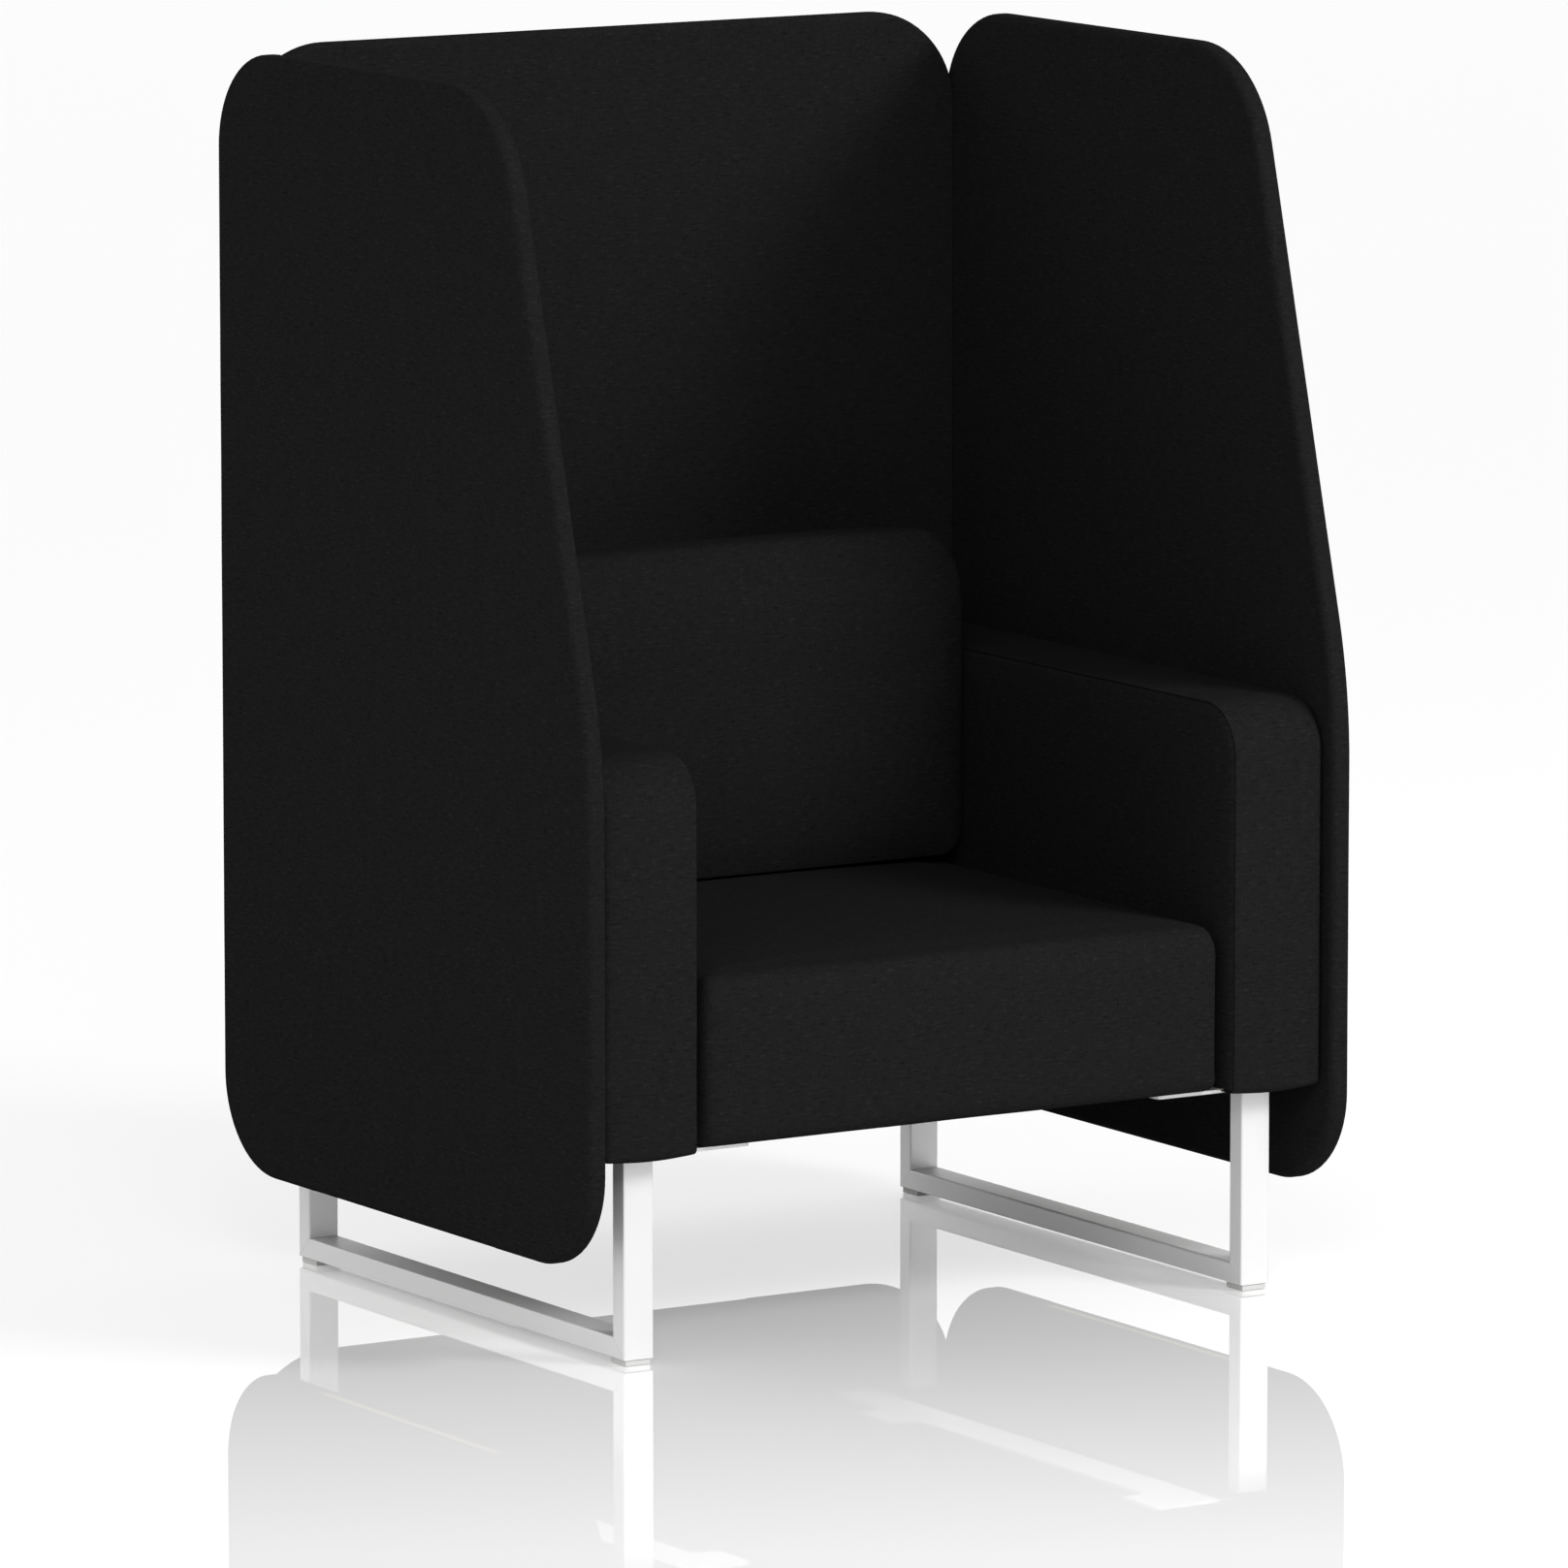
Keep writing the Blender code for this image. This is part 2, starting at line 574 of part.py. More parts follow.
# Arms: plywood carcass on a base board, upholstered pad and underside cloth
ear_screw_x = (PLATE_EAR_INNER + PLATE_STRIP_INNER) / 2
ear_screw_ends = (PLATE_FRONT + PLATE_EAR_LENGTH / 2, REAR_EAR_END - PLATE_EAR_LENGTH / 2)
arm_screw_x = (CARCASS_INNER + LEG_MIDDLE - TUBE_WIDTH / 2) / 2
arm_screw_ends = (LEG_FRONT + ARM_SCREW_INSET, LEG_REAR - ARM_SCREW_INSET)
carcasses = {}
arm_pads = {}
for side_name in SIDES:
    sign = mirror(side_name)
    place = sideways(sign)
    carcass = sheet(
        side_name + "_arm_carcass",
        rounded_outline(rectangle(CARCASS_FRONT, CARCASS_BOTTOM, CARCASS_REAR, CARCASS_TOP),
                        [CHAMFER, CHAMFER, CHAMFER, CARCASS_CORNER]),
        CARCASS_INNER, CARCASS_OUTER, place, PLY)
    cut(carcass, sheet(
        side_name + "_arm_carcass_hollow",
        rounded_outline(rectangle(CARCASS_FRONT + CARCASS_PLY, CARCASS_BOTTOM - PAST,
                                  CARCASS_REAR - CARCASS_PLY, CARCASS_TOP - CARCASS_PLY),
                        [CHAMFER, CHAMFER, CHAMFER, CARCASS_CORNER - CARCASS_PLY]),
        CARCASS_INNER + CARCASS_PLY, CARCASS_OUTER - CARCASS_PLY, place))
    carcasses[side_name] = carcass
    base = block(side_name + "_arm_base_board", (sign * CARCASS_INNER, CARCASS_FRONT, PLATE_TOP + FIT),
                 (sign * CARCASS_OUTER, CARCASS_REAR, ARM_BASE_TOP), PLY)

    inner_face = crown(ARM_EDGE_ROUND, ARM_INNER_CROWN_REACH, ARM_INNER, -ARM_INNER_CROWN, 3)
    rising = [(inset, ARM_INNER + rise) for inset, rise in quarter(ARM_EDGE_ROUND, 2)]
    falling = [(inset, ARM_OUTER - rise) for inset, rise in reversed(quarter(ARM_EDGE_ROUND, 2))]
    flat_width = ARM_WIDTH - 2 * ARM_EDGE_ROUND
    swell = [(-ARM_CROWN * math.sin(math.pi * k / 4), ARM_INNER + ARM_EDGE_ROUND + flat_width * k / 4)
             for k in range(1, 4)]
    arm_sections = inset_sections(rectangle(ARM_FRONT, ARM_BOTTOM, ARM_REAR, ARM_TOP),
                                  [ARM_LOW_CORNER, ARM_REAR_CORNER, ARM_REAR_CORNER, ARM_FRONT_CORNER],
                                  inner_face[::-1] + rising + swell + falling)
    pad = loft(side_name + "_arm_pad", arm_sections, place, FABRIC)
    cut(pad, sheet(
        side_name + "_arm_pocket",
        rounded_outline(rectangle(CARCASS_FRONT - FIT, ARM_BOTTOM - PAST, ARM_REAR + PAST, CARCASS_TOP + FIT),
                        [CHAMFER, CHAMFER, CHAMFER, CARCASS_CORNER]),
        CARCASS_INNER - FIT, CARCASS_OUTER + FIT, place))
    cut(pad, block(side_name + "_plate_slot", (sign * PLATE_EAR_INNER, PLATE_FRONT - FIT, ARM_BOTTOM - PAST),
                   (sign * (PLATE_OUTER + FIT), ARM_REAR + PAST, PLATE_TOP + FIT)))
    arm_pads[side_name] = pad

    cloth = block(side_name + "_arm_underside_cloth", (sign * CARCASS_INNER, CARCASS_FRONT, UNDERSIDE),
                  (sign * CARCASS_OUTER, CARCASS_REAR, UNDERSIDE + CLOTH_THICK), CLOTH)
    leg_half = TUBE_WIDTH / 2 + FIT
    for end_name, low_y in zip(ENDS, (LEG_FRONT, LEG_REAR - TUBE_DEPTH)):
        cut(cloth, block(side_name + "_" + end_name + "_cloth_hole",
                         (sign * LEG_MIDDLE - leg_half, low_y - FIT, UNDERSIDE - PAST),
                         (sign * LEG_MIDDLE + leg_half, low_y + TUBE_DEPTH + FIT, UNDERSIDE + PAST)))
    for end_name, y, timber in zip(ENDS, ear_screw_ends, (seat_rails["front"], seat_rails[side_name])):
        plate_screw(side_name + "_" + end_name + "_seat_screw", sign * ear_screw_x, y, SCREW_REACH,
                    (plates[side_name], seat_cloth, timber))
    for end_name, y in zip(ENDS, arm_screw_ends):
        plate_screw(side_name + "_" + end_name + "_arm_screw", sign * arm_screw_x, y, ARM_SCREW_REACH,
                    (plates[side_name], base))


def screen(name, corners, radii, near, far, place):
    """Plywood board in a padded cover with rounded edges, open along part of its bottom edge."""
    board = sheet(name + "_board", rounded_outline(corners, radii, SCREEN_PAD + FIT),
                  near + SCREEN_PAD, far - SCREEN_PAD, place, PLY)
    cover = sheet(name + "_cover", rounded_outline(corners, radii), near, far, place, FABRIC,
                  SCREEN_EDGE_ROUND)
    room = (near + SCREEN_PAD - FIT, far - SCREEN_PAD + FIT)
    cut(cover, sheet(name + "_cavity", rounded_outline(corners, radii, SCREEN_PAD), *room, place))
    cut(cover, block(name + "_slot", place(-COVER_SLOT_LENGTH / 2, SCREEN_BOTTOM - PAST, room[0]),
                     place(COVER_SLOT_LENGTH / 2, SCREEN_BOTTOM + 2 * SCREEN_PAD, room[1])))
    return board, cover


# Screens: two sloped sides with the back between them
side_corners = [(FRONT, SCREEN_BOTTOM), (SIDE_REAR, SCREEN_BOTTOM), (SIDE_REAR, SCREEN_TOP),
                (FRONT + SCREEN_TOP_SETBACK, SCREEN_TOP), (FRONT, SCREEN_BEND_HEIGHT)]
side_radii = [SCREEN_CORNER, SCREEN_CORNER, SCREEN_CORNER, SCREEN_FRONT_TOP_CORNER, SCREEN_BEND_RADIUS]
screens = {}
for side_name in SIDES:
    sign = mirror(side_name)
    screens[side_name] = screen(side_name + "_side_screen", side_corners, side_radii,
                                SCREEN_INNER, HALF_WIDTH, sideways(sign))
back_board, back_cover = screen("back_screen", rectangle(-BACK_HALF, SCREEN_BOTTOM, BACK_HALF, SCREEN_TOP),
                                [SCREEN_CORNER] * 4, BACK_FACE, REAR, along_y)

# Bolts from each arm carcass into its side screen, and dowels at the rear corners
bolt_height = (CARCASS_BOTTOM + CARCASS_TOP) / 2
bolt_ends = (ARM_FRONT + BOLT_FRONT_INSET, BACK_FACE - BOLT_REAR_INSET)
bolt_seat = CARCASS_OUTER - CARCASS_PLY - FIT
bolt_start = bolt_seat - BOLT_HEAD_HEIGHT
bolt_end = SCREEN_INNER + SCREEN_PAD + BOLT_BITE
dowel_start = BACK_HALF - SCREEN_PAD - DOWEL_BACK_BITE
dowel_length = bolt_end - dowel_start
dowel_y = (BACK_FACE + SIDE_REAR) / 2
for side_name in SIDES:
    sign = mirror(side_name)
    board, cover = screens[side_name]
    for end_name, y in zip(ENDS, bolt_ends):
        name = side_name + "_" + end_name + "_screen_bolt"
        turned(name, (sign * bolt_start, y, bolt_height), (sign, 0, 0),
               ((0.0, BOLT_HEAD_RADIUS - CHAMFER), (CHAMFER, BOLT_HEAD_RADIUS),
                (BOLT_HEAD_HEIGHT, BOLT_HEAD_RADIUS), (BOLT_HEAD_HEIGHT, BOLT_RADIUS),
                (bolt_end - bolt_start, BOLT_RADIUS)), STEEL)
        drill((carcasses[side_name], arm_pads[side_name], cover, board), name + "_hole",
              (sign * (bolt_seat - FIT), y, bolt_height), (sign, 0, 0), bolt_end - bolt_seat + 2 * FIT,
              BOLT_RADIUS + HOLE_FIT)
    for level, z in (("lower", SCREEN_BOTTOM + DOWEL_INSET), ("upper", SCREEN_TOP - DOWEL_INSET)):
        name = side_name + "_" + level + "_corner_dowel"
        turned(name, (sign * dowel_start, dowel_y, z), (sign, 0, 0),
               ((0.0, DOWEL_RADIUS - CHAMFER), (CHAMFER, DOWEL_RADIUS),
                (dowel_length - CHAMFER, DOWEL_RADIUS), (dowel_length, DOWEL_RADIUS - CHAMFER)), STEEL)
        drill((back_board, back_cover, cover, board), name + "_hole",
              (sign * (dowel_start - FIT), dowel_y, z), (sign, 0, 0), dowel_length + 2 * FIT,
              DOWEL_RADIUS + HOLE_FIT)

# Back cushion on its board, held to the back screen by push-in clips
cushion_radii = [BACK_CUSHION_LOW_CORNER] * 2 + [BACK_CUSHION_TOP_CORNER] * 2


def cushion_section(y, side, low, top):
    """Outline of the back cushion with its own inset at the sides, the bottom and the top."""
    corners = rectangle(-BACK_CUSHION_HALF, BACK_CUSHION_BOTTOM + low - side,
                        BACK_CUSHION_HALF, BACK_CUSHION_TOP - top + side)
    return rounded_outline(corners, cushion_radii, side), y


cushion_sections = []
rim = BACK_CUSHION_FRONT + BACK_CUSHION_CROWN
crest = rim + BACK_CUSHION_TOP_ROUND
fall = BACK_CUSHION_REAR - crest
for inset, rise in quarter(BACK_CUSHION_REAR_ROUND, 2):
    share = (fall - rise) / fall
    cushion_sections.append(cushion_section(BACK_CUSHION_REAR - rise, inset, inset,
                                            inset + BACK_CUSHION_REAR_DROP * share ** 2))
for step in range(CREST_STEPS - 1, 0, -1):
    share = step / CREST_STEPS
    cushion_sections.append(cushion_section(crest + fall * share, 0.0, 0.0,
                                            BACK_CUSHION_REAR_DROP * share ** 2))
for step in range(CUSHION_STEPS + 1):
    depth = BACK_CUSHION_TOP_ROUND * (1 - math.sin(math.pi / 2 * step / CUSHION_STEPS))
    cushion_sections.append(cushion_section(
        rim + depth, round_inset(BACK_CUSHION_SIDE_ROUND, depth),
        round_inset(BACK_CUSHION_LOW_ROUND, depth), round_inset(BACK_CUSHION_TOP_ROUND, depth)))
for reach, y in crown(0.0, BACK_CUSHION_CROWN_REACH, rim, -BACK_CUSHION_CROWN, 4):
    cushion_sections.append(cushion_section(
        y, BACK_CUSHION_SIDE_ROUND + reach, BACK_CUSHION_LOW_ROUND + reach, BACK_CUSHION_TOP_ROUND + reach))
back_cushion = loft("back_cushion", cushion_sections, along_y, FABRIC)
rest_rear = BACK_CUSHION_REAR - FIT
rest_front = rest_rear - BACK_CUSHION_PLY
rest_corners = rectangle(-BACK_CUSHION_HALF, BACK_CUSHION_BOTTOM,
                         BACK_CUSHION_HALF, BACK_CUSHION_TOP - BACK_CUSHION_REAR_DROP)
rest_board = sheet("back_cushion_board", rounded_outline(rest_corners, cushion_radii, BACK_CUSHION_MARGIN),
                   rest_front, rest_rear, along_y, PLY)
cut(back_cushion, sheet("back_cushion_pocket",
                        rounded_outline(rest_corners, cushion_radii, BACK_CUSHION_MARGIN - FIT),
                        rest_front - FIT, rest_rear + PAST, along_y))
clip_x = BACK_CUSHION_HALF - CLIP_SIDE_INSET
clip_start = rest_rear - CLIP_BITE
clip_length = BACK_FACE + SCREEN_PAD + CLIP_BITE - clip_start
clip_heights = (BACK_CUSHION_BOTTOM + CLIP_INSET, BACK_CUSHION_TOP - BACK_CUSHION_REAR_DROP - CLIP_INSET)
for level, z in zip(("lower", "upper"), clip_heights):
    for side_name in SIDES:
        sign = mirror(side_name)
        name = "back_cushion_" + level + "_" + side_name + "_clip"
        turned(name, (sign * clip_x, clip_start, z), (0, 1, 0),
               ((0.0, CLIP_RADIUS - CHAMFER), (CHAMFER, CLIP_RADIUS), (clip_length - CHAMFER, CLIP_RADIUS),
                (clip_length, CLIP_RADIUS - CHAMFER)), CLIP)
        drill((rest_board, back_board, back_cover), name + "_hole",
              (sign * clip_x, clip_start - FIT, z), (0, 1, 0), clip_length + 2 * FIT, CLIP_RADIUS + HOLE_FIT)
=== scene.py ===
"""Looks of the privacy booth seat: upholstery, finishes, camera, light and floor."""
import json
import math

import bpy
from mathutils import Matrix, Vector, kdtree, noise


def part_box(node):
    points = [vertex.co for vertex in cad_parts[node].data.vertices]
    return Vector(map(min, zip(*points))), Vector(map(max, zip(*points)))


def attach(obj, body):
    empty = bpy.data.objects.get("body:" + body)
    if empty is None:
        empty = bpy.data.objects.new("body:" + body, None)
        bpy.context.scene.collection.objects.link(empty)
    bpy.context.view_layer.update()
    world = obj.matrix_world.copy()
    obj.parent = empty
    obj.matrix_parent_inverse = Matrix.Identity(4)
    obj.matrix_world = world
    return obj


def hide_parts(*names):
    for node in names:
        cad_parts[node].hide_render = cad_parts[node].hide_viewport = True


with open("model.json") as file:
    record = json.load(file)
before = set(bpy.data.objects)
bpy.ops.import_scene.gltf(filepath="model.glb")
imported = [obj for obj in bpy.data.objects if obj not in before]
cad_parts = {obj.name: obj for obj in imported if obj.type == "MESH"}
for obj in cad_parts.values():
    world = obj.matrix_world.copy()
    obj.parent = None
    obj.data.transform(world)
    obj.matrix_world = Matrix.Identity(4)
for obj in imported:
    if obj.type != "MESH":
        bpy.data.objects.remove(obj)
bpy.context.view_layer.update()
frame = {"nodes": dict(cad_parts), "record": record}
scene = bpy.context.scene

# Camera and picture, in metres and pixels
CAMERA_PLACE = (-7.52905, -12.10447, 2.77731)
CAMERA_TARGET = (0.0009, -0.0041, 0.5913)
FOCAL_PIXELS = 12583.06
IMAGE_PIXELS = 1617
SENSOR = 36.0
CAMERA_FAR = 100.0

# Light and floor, in metres and watts; a sky level is a height and a strength, and polish is a
# place along the view and a share of gloss
WHITE = (1.0, 1.0, 1.0, 1.0)
KEY = {"place": (3.3, -4.85, 4.2), "target": (0.0, 0.0, 0.6), "size": (1.9, 1.9), "power": 201.0}
FILL = {"place": (-3.2, -6.0, 4.6), "target": (0.0, 0.0, 0.7), "size": (2.4, 2.0), "power": 95.0}
SKY_LEAN = -0.3
SKY_LEVELS = ((0.0, 0.14), (0.20, 0.32), (0.42, 1.0), (0.62, 0.78), (0.85, 0.30), (1.0, 0.08))
FLOOR_REACH = 40.0
FLOOR_COLOUR = 0.82
FLOOR_LIFT = 0.45
FLOOR_IOR = 1.5
VIEW_ALONG = (0.532, 0.847, 0.0)
POLISH_NEAR = (-1.55, 0.76)
POLISH_FAR = (-0.35, 1.28)

# Screens; below, a ripple is a depth and a size, and a fill goes from 0, slack, to 1, tight
SCREEN_CORNER = 0.116
SCREEN_FRONT_TOP_CORNER = 0.148
SCREEN_TOP_SETBACK = 0.1988
SCREEN_BEND_HEIGHT = 0.714
SCREEN_BEND_RADIUS = 0.65
SCREEN_EDGE_ROUND = 0.009
SCREEN_PAD = 0.005
SCREEN_SWELL = 0.0008
SCREEN_SWELL_REACH = 0.12
SCREEN_STEPS = 6
SCREEN_MIDDLE_STEPS = (2.5, 3, 3.5)
SCREEN_RIPPLE = (0.0004, 0.09)
SCREEN_FILL = 0.9
COVER_SLOT_LENGTH = 0.42
BACK_TOUCH = 0.00029
JOINT_ROUND_SHARE = 0.2

# Arms
ARM_FRONT_CORNER = 0.062
ARM_LOW_CORNER = 0.008
ARM_REAR_CORNER = 0.006
ARM_SEAM_ROUND = 0.0025
ARM_OUTER_ROUND = 0.012
ARM_CROWN = 0.003
ARM_ROLL = 0.0075
ARM_ROLL_LENGTH = 0.026
ARM_STEPS = 24
ARM_RIPPLE = (0.0005, 0.08)
ARM_FILL = 0.9
CARCASS_CORNER = 0.025

# Seat
SEAT_CORNER = 0.014
SEAT_BULGE = 0.0015
SEAT_LOW_ROUND = 0.014
SEAT_TOP_ROUND = 0.020
SEAT_TOP_HEIGHT = 0.034
SEAT_CROWN = 0.008
SEAT_CROWN_REACH = 0.25
SEAT_SWELL = 0.0025
SEAT_SIDE_SWELL = 0.0015
SEAT_SIDE_STEPS = 20
SEAT_TOP_STEPS = 16
SEAT_RIPPLE = (0.0008, 0.11)
SEAT_FILL = 0.85
STRAPS = 4

# Back cushion
CUSHION_TOP_CORNER = 0.055
CUSHION_LOW_CORNER = 0.046
CUSHION_SIDE_ROUND = 0.025
CUSHION_TOP_ROUND = 0.052
CUSHION_TOP_HEIGHT = 0.160
CUSHION_RISE = 0.003
CUSHION_LOW_ROUND = 0.009
CUSHION_TRIM = 0.012
CUSHION_LIFT = 0.0021
CUSHION_SIDE_ROLL = 0.006
CUSHION_ROLL_REACH = 0.15
CUSHION_REAR_ROUND = 0.010
CUSHION_REAR_DROP = 0.045
CUSHION_CROWN = 0.014
CUSHION_CROWN_REACH = 0.13
CUSHION_SWELL = 0.005
CUSHION_FALL_STEPS = 16
CUSHION_FRONT_STEPS = 28
CUSHION_RIPPLE = (0.0008, 0.12)
CUSHION_FILL = 0.8

# Underside cloth
CLOTH_THICK = 0.0007
CLOTH_GRID = 0.012
SEAT_CLOTH_SAG = 0.002
CLOTH_UNEVEN = 0.3
CLOTH_UNEVEN_SIZE = 0.12

# Sewing and meshing; cutting forms run PAST a face and leave FIT round what is inside
SEAM_DEPTH = 0.0026
SEAM_WIDTH = 0.0018
SEAM_REACH = 4
STITCH_PITCH = 0.012
STITCH_PUCKER = 0.2
VOXEL = 0.006
SWELL_FRAMES = 16
SWELL_PRESSURE = 4.0
SMOOTH_FACTOR = 0.5
SMOOTH_ROUNDS = 6
SPACING = 0.006
ARC_STEPS = 18
EDGE_STEPS = 10
CAP_STEPS = 26
CAP_POWER = 1.7
SMALLEST_ROUND = 0.0005
SMALLEST_SQUARE = 1e-12
SHARP_ANGLE = math.radians(50.0)
PAST = 0.05
FIT = 0.0003

# Yarn scales per metre, across and up a panel; tones are two levels, or positions with levels
WEFT_SCALE = (85.0, 340.0, 1.0)
WARP_SCALE = (360.0, 110.0, 1.0)
SPECKLE_SCALE = (430.0, 430.0, 1.0)
CLOUD_SCALE = (30.0, 30.0, 1.0)
WEFT_TONES = ((0.30, 0.0105), (0.41, 0.0147), (0.60, 0.0153), (0.70, 0.0214))
WARP_TONES = ((0.30, 0.80), (0.41, 0.98), (0.62, 1.0), (0.72, 1.2))
SPECKLE_TONES = (0.92, 1.06)
CLOUD_TONES = (0.96, 1.04)
WEAVE_ROWS = 105.0
WEAVE_COLUMNS = 120.0
WEAVE_WOBBLE = 1.5
WEAVE_WOBBLE_SCALE = 3.0
WEAVE_BUMP = (0.35, 0.0004)

# Other finishes: scales per metre, tones from dark to light, bumps as a strength and a depth
NOISE_LOW = 0.3
NOISE_HIGH = 0.7
FIBRE_SCALE = (900.0, 700.0, 1.0)
FIBRE_TONES = (0.008, 0.016)
BOND_SCALE = 420.0
BOND_BUMP = (0.3, 0.0003)
COAT_SCALE = (9.0, 9.0, 9.0)
COAT_TONES = ((0.80, 0.80, 0.795), (0.83, 0.83, 0.83))
COAT_ROUGHNESS = (0.26, 0.33)
PEEL_SCALE = (420.0, 420.0, 420.0)
PEEL_BUMP = (0.06, 0.0003)
WHITE_NYLON_TONES = ((0.66, 0.66, 0.65), (0.74, 0.74, 0.73))
BLACK_NYLON_TONES = ((0.02, 0.02, 0.02), (0.035, 0.035, 0.035))
NYLON_SCALE = (700.0, 700.0, 700.0)
NYLON_BUMP = (0.15, 0.0002)
BIRCH_TONES = ((0.52, 0.38, 0.23), (0.68, 0.54, 0.36))
BIRCH_SCALE = (9.0, 9.0, 160.0)
BEECH_TONES = ((0.46, 0.29, 0.16), (0.60, 0.41, 0.25))
BEECH_SCALE = (60.0, 60.0, 60.0)
PORE_FINENESS = 8
PORE_TONES = ((0.3, 0.82), (0.5, 1.0))
PORE_BUMP = (0.1, 0.0003)
BRUSH_SCALE = (300.0, 300.0, 3000.0)
STEEL_TONES = ((0.56, 0.57, 0.59), (0.66, 0.67, 0.68))
STEEL_ROUGHNESS = (0.28, 0.42)
RIB_SCALE = 90.0
RIB_WOBBLE = 0.6
RIB_TONES = ((0.2, 0.07), (0.8, 0.15))
RIB_BUMP = (0.4, 0.0005)

# Places of the mix node's sockets
MIX_NUMBERS = (2, 3)
MIX_COLOURS = (6, 7)
MIXED_COLOUR = 2


# Forms

class Form:
    """Rounded outline, corners anticlockwise, that gives rings of points."""

    def __init__(self, corners, radii, counts=None):
        self.corners = [Vector(corner) for corner in corners]
        self.radii = radii
        arcs = self.arcs(0.0)
        gaps = [(arcs[(i + 1) % len(arcs)][0] - arc[1]).length for i, arc in enumerate(arcs)]
        self.counts = counts or [max(1, round(gap / SPACING)) for gap in gaps]

    def arcs(self, inset):
        """Start, end, centre, radius, first angle and turn of each corner, sides moved inward."""
        size = len(self.corners)
        sides = []
        for i, corner in enumerate(self.corners):
            along = (self.corners[(i + 1) % size] - corner).normalized()
            sides.append((corner + Vector((-along.y, along.x)) * inset, along))
        found = []
        for i in range(size):
            point, before = sides[i - 1]
            other, after = sides[i]
            cross = before.x * after.y - before.y * after.x
            turn = math.atan2(cross, before.dot(after))
            gap = other - point
            corner = point + before * ((gap.x * after.y - gap.y * after.x) / cross)
            radius = max(self.radii[i] - inset, SMALLEST_ROUND)
            reach = radius * math.tan(turn / 2)
            start = corner - before * reach
            centre = start + Vector((-before.y, before.x)) * radius
            angle = math.atan2(-before.x, before.y)
            found.append((start, corner + after * reach, centre, radius, angle, turn))
        return found

    def ring(self, inset, height):
        """Points of the outline at an inset and a height."""
        arcs = self.arcs(inset)
        points = []
        for i, (start, end, centre, radius, angle, turn) in enumerate(arcs):
            for k in range(ARC_STEPS + 1):
                swing = angle + turn * k / ARC_STEPS
                points.append((centre.x + radius * math.cos(swing),
                               centre.y + radius * math.sin(swing), height))
            gap = arcs[(i + 1) % len(arcs)][0] - end
            for k in range(1, self.counts[i]):
                share = k / self.counts[i]
                points.append((end.x + gap.x * share, end.y + gap.y * share, height))
        return points


def rectangle(left, low, right, high):
    """Corners of a rectangle, anticlockwise."""
    return [(left, low), (right, low), (right, high), (left, high)]


def ease(share):
    """Quarter sine from 0 to 1, flat after it."""
    return math.sin(math.pi / 2 * min(max(share, 0.0), 1.0))


def quarter(radius, rise=None, steps=EDGE_STEPS):
    """Inset and rise of a quarter round, from the flat face outward."""
    swings = [math.pi / 2 * k / steps for k in range(steps + 1)]
    return [(radius * (1 - math.sin(a)), (rise or radius) * (1 - math.cos(a))) for a in swings]


def round_inset(radius, depth):
    """Inset of a rounded edge at a depth behind its front face."""
    if depth >= radius:
        return 0.0
    return radius - math.sqrt(radius ** 2 - (radius - depth) ** 2)


def rim_distance(ring):
    """Function that gives how far a point in a face is from the face's rim."""
    rim = [Vector((p[0], p[1], 0.0)) for p in ring]
    tree = kdtree.KDTree(len(rim))
    for i, point in enumerate(rim):
        tree.insert(point, i)
    tree.balance()

    def distance(u, v):
        here = Vector((u, v, 0.0))
        nearest = tree.find(here)[1]
        found = []
        for i in (nearest - 1, nearest):
            start = rim[i]
            along = rim[(i + 1) % len(rim)] - start
            share = (here - start).dot(along) / max(along.length_squared, SMALLEST_SQUARE)
            share = min(max(share, 0.0), 1.0)
            found.append((start + along * share - here).length)
        return min(found)
    return distance


def cap_rings(ring, rise=0.0, profile=None):
    """Rings from a face's rim to its middle, which swells by a rise along a profile."""
    middle_u = sum(p[0] for p in ring) / len(ring)
    middle_v = sum(p[1] for p in ring) / len(ring)
    level = ring[0][2]
    distance = rim_distance(ring)
    rings = []
    for k in range(1, CAP_STEPS):
        share = 1 - (k / CAP_STEPS) ** CAP_POWER
        moved = [(middle_u + (p[0] - middle_u) * share, middle_v + (p[1] - middle_v) * share)
                 for p in ring]
        rings.append([(u, v, level + (rise * profile(distance(u, v)) if profile else 0.0))
                      for u, v in moved])
    return rings


def domed(reach):
    """Swelling profile that rises evenly and is flat past a reach."""
    return lambda distance: ease(distance / reach)


def rolled(length):
    """Swelling profile that rises steeply at the rim and soon goes flat."""
    return lambda distance: 1 - math.exp(-distance / length)


def skin(name, rings, place, material):
    """Closed smooth mesh through rings of equal length, fanned shut at both ends."""
    count = len(rings[0])
    points = [place(*p) for ring in rings for p in ring]
    faces = []
    for r in range(len(rings) - 1):
        a = r * count
        b = a + count
        for i in range(count):
            j = (i + 1) % count
            faces.append((a + i, a + j, b + j, b + i))
    for start, turned in ((0, True), ((len(rings) - 1) * count, False)):
        ends = points[start:start + count]
        points.append(tuple(sum(p[k] for p in ends) / count for k in range(3)))
        hub = len(points) - 1
        for i in range(count):
            j = (i + 1) % count
            faces.append((start + j, start + i, hub) if turned else (start + i, start + j, hub))
    mesh = bpy.data.meshes.new(name)
    mesh.from_pydata(points, [], faces)
    mesh.update()
    volume = sum(f.center.dot(f.normal) * f.area for f in mesh.polygons)
    if volume < 0:
        mesh.flip_normals()
    mesh.shade_smooth()
    made = bpy.data.objects.new(name, mesh)
    scene.collection.objects.link(made)
    mesh.materials.append(material)
    return made


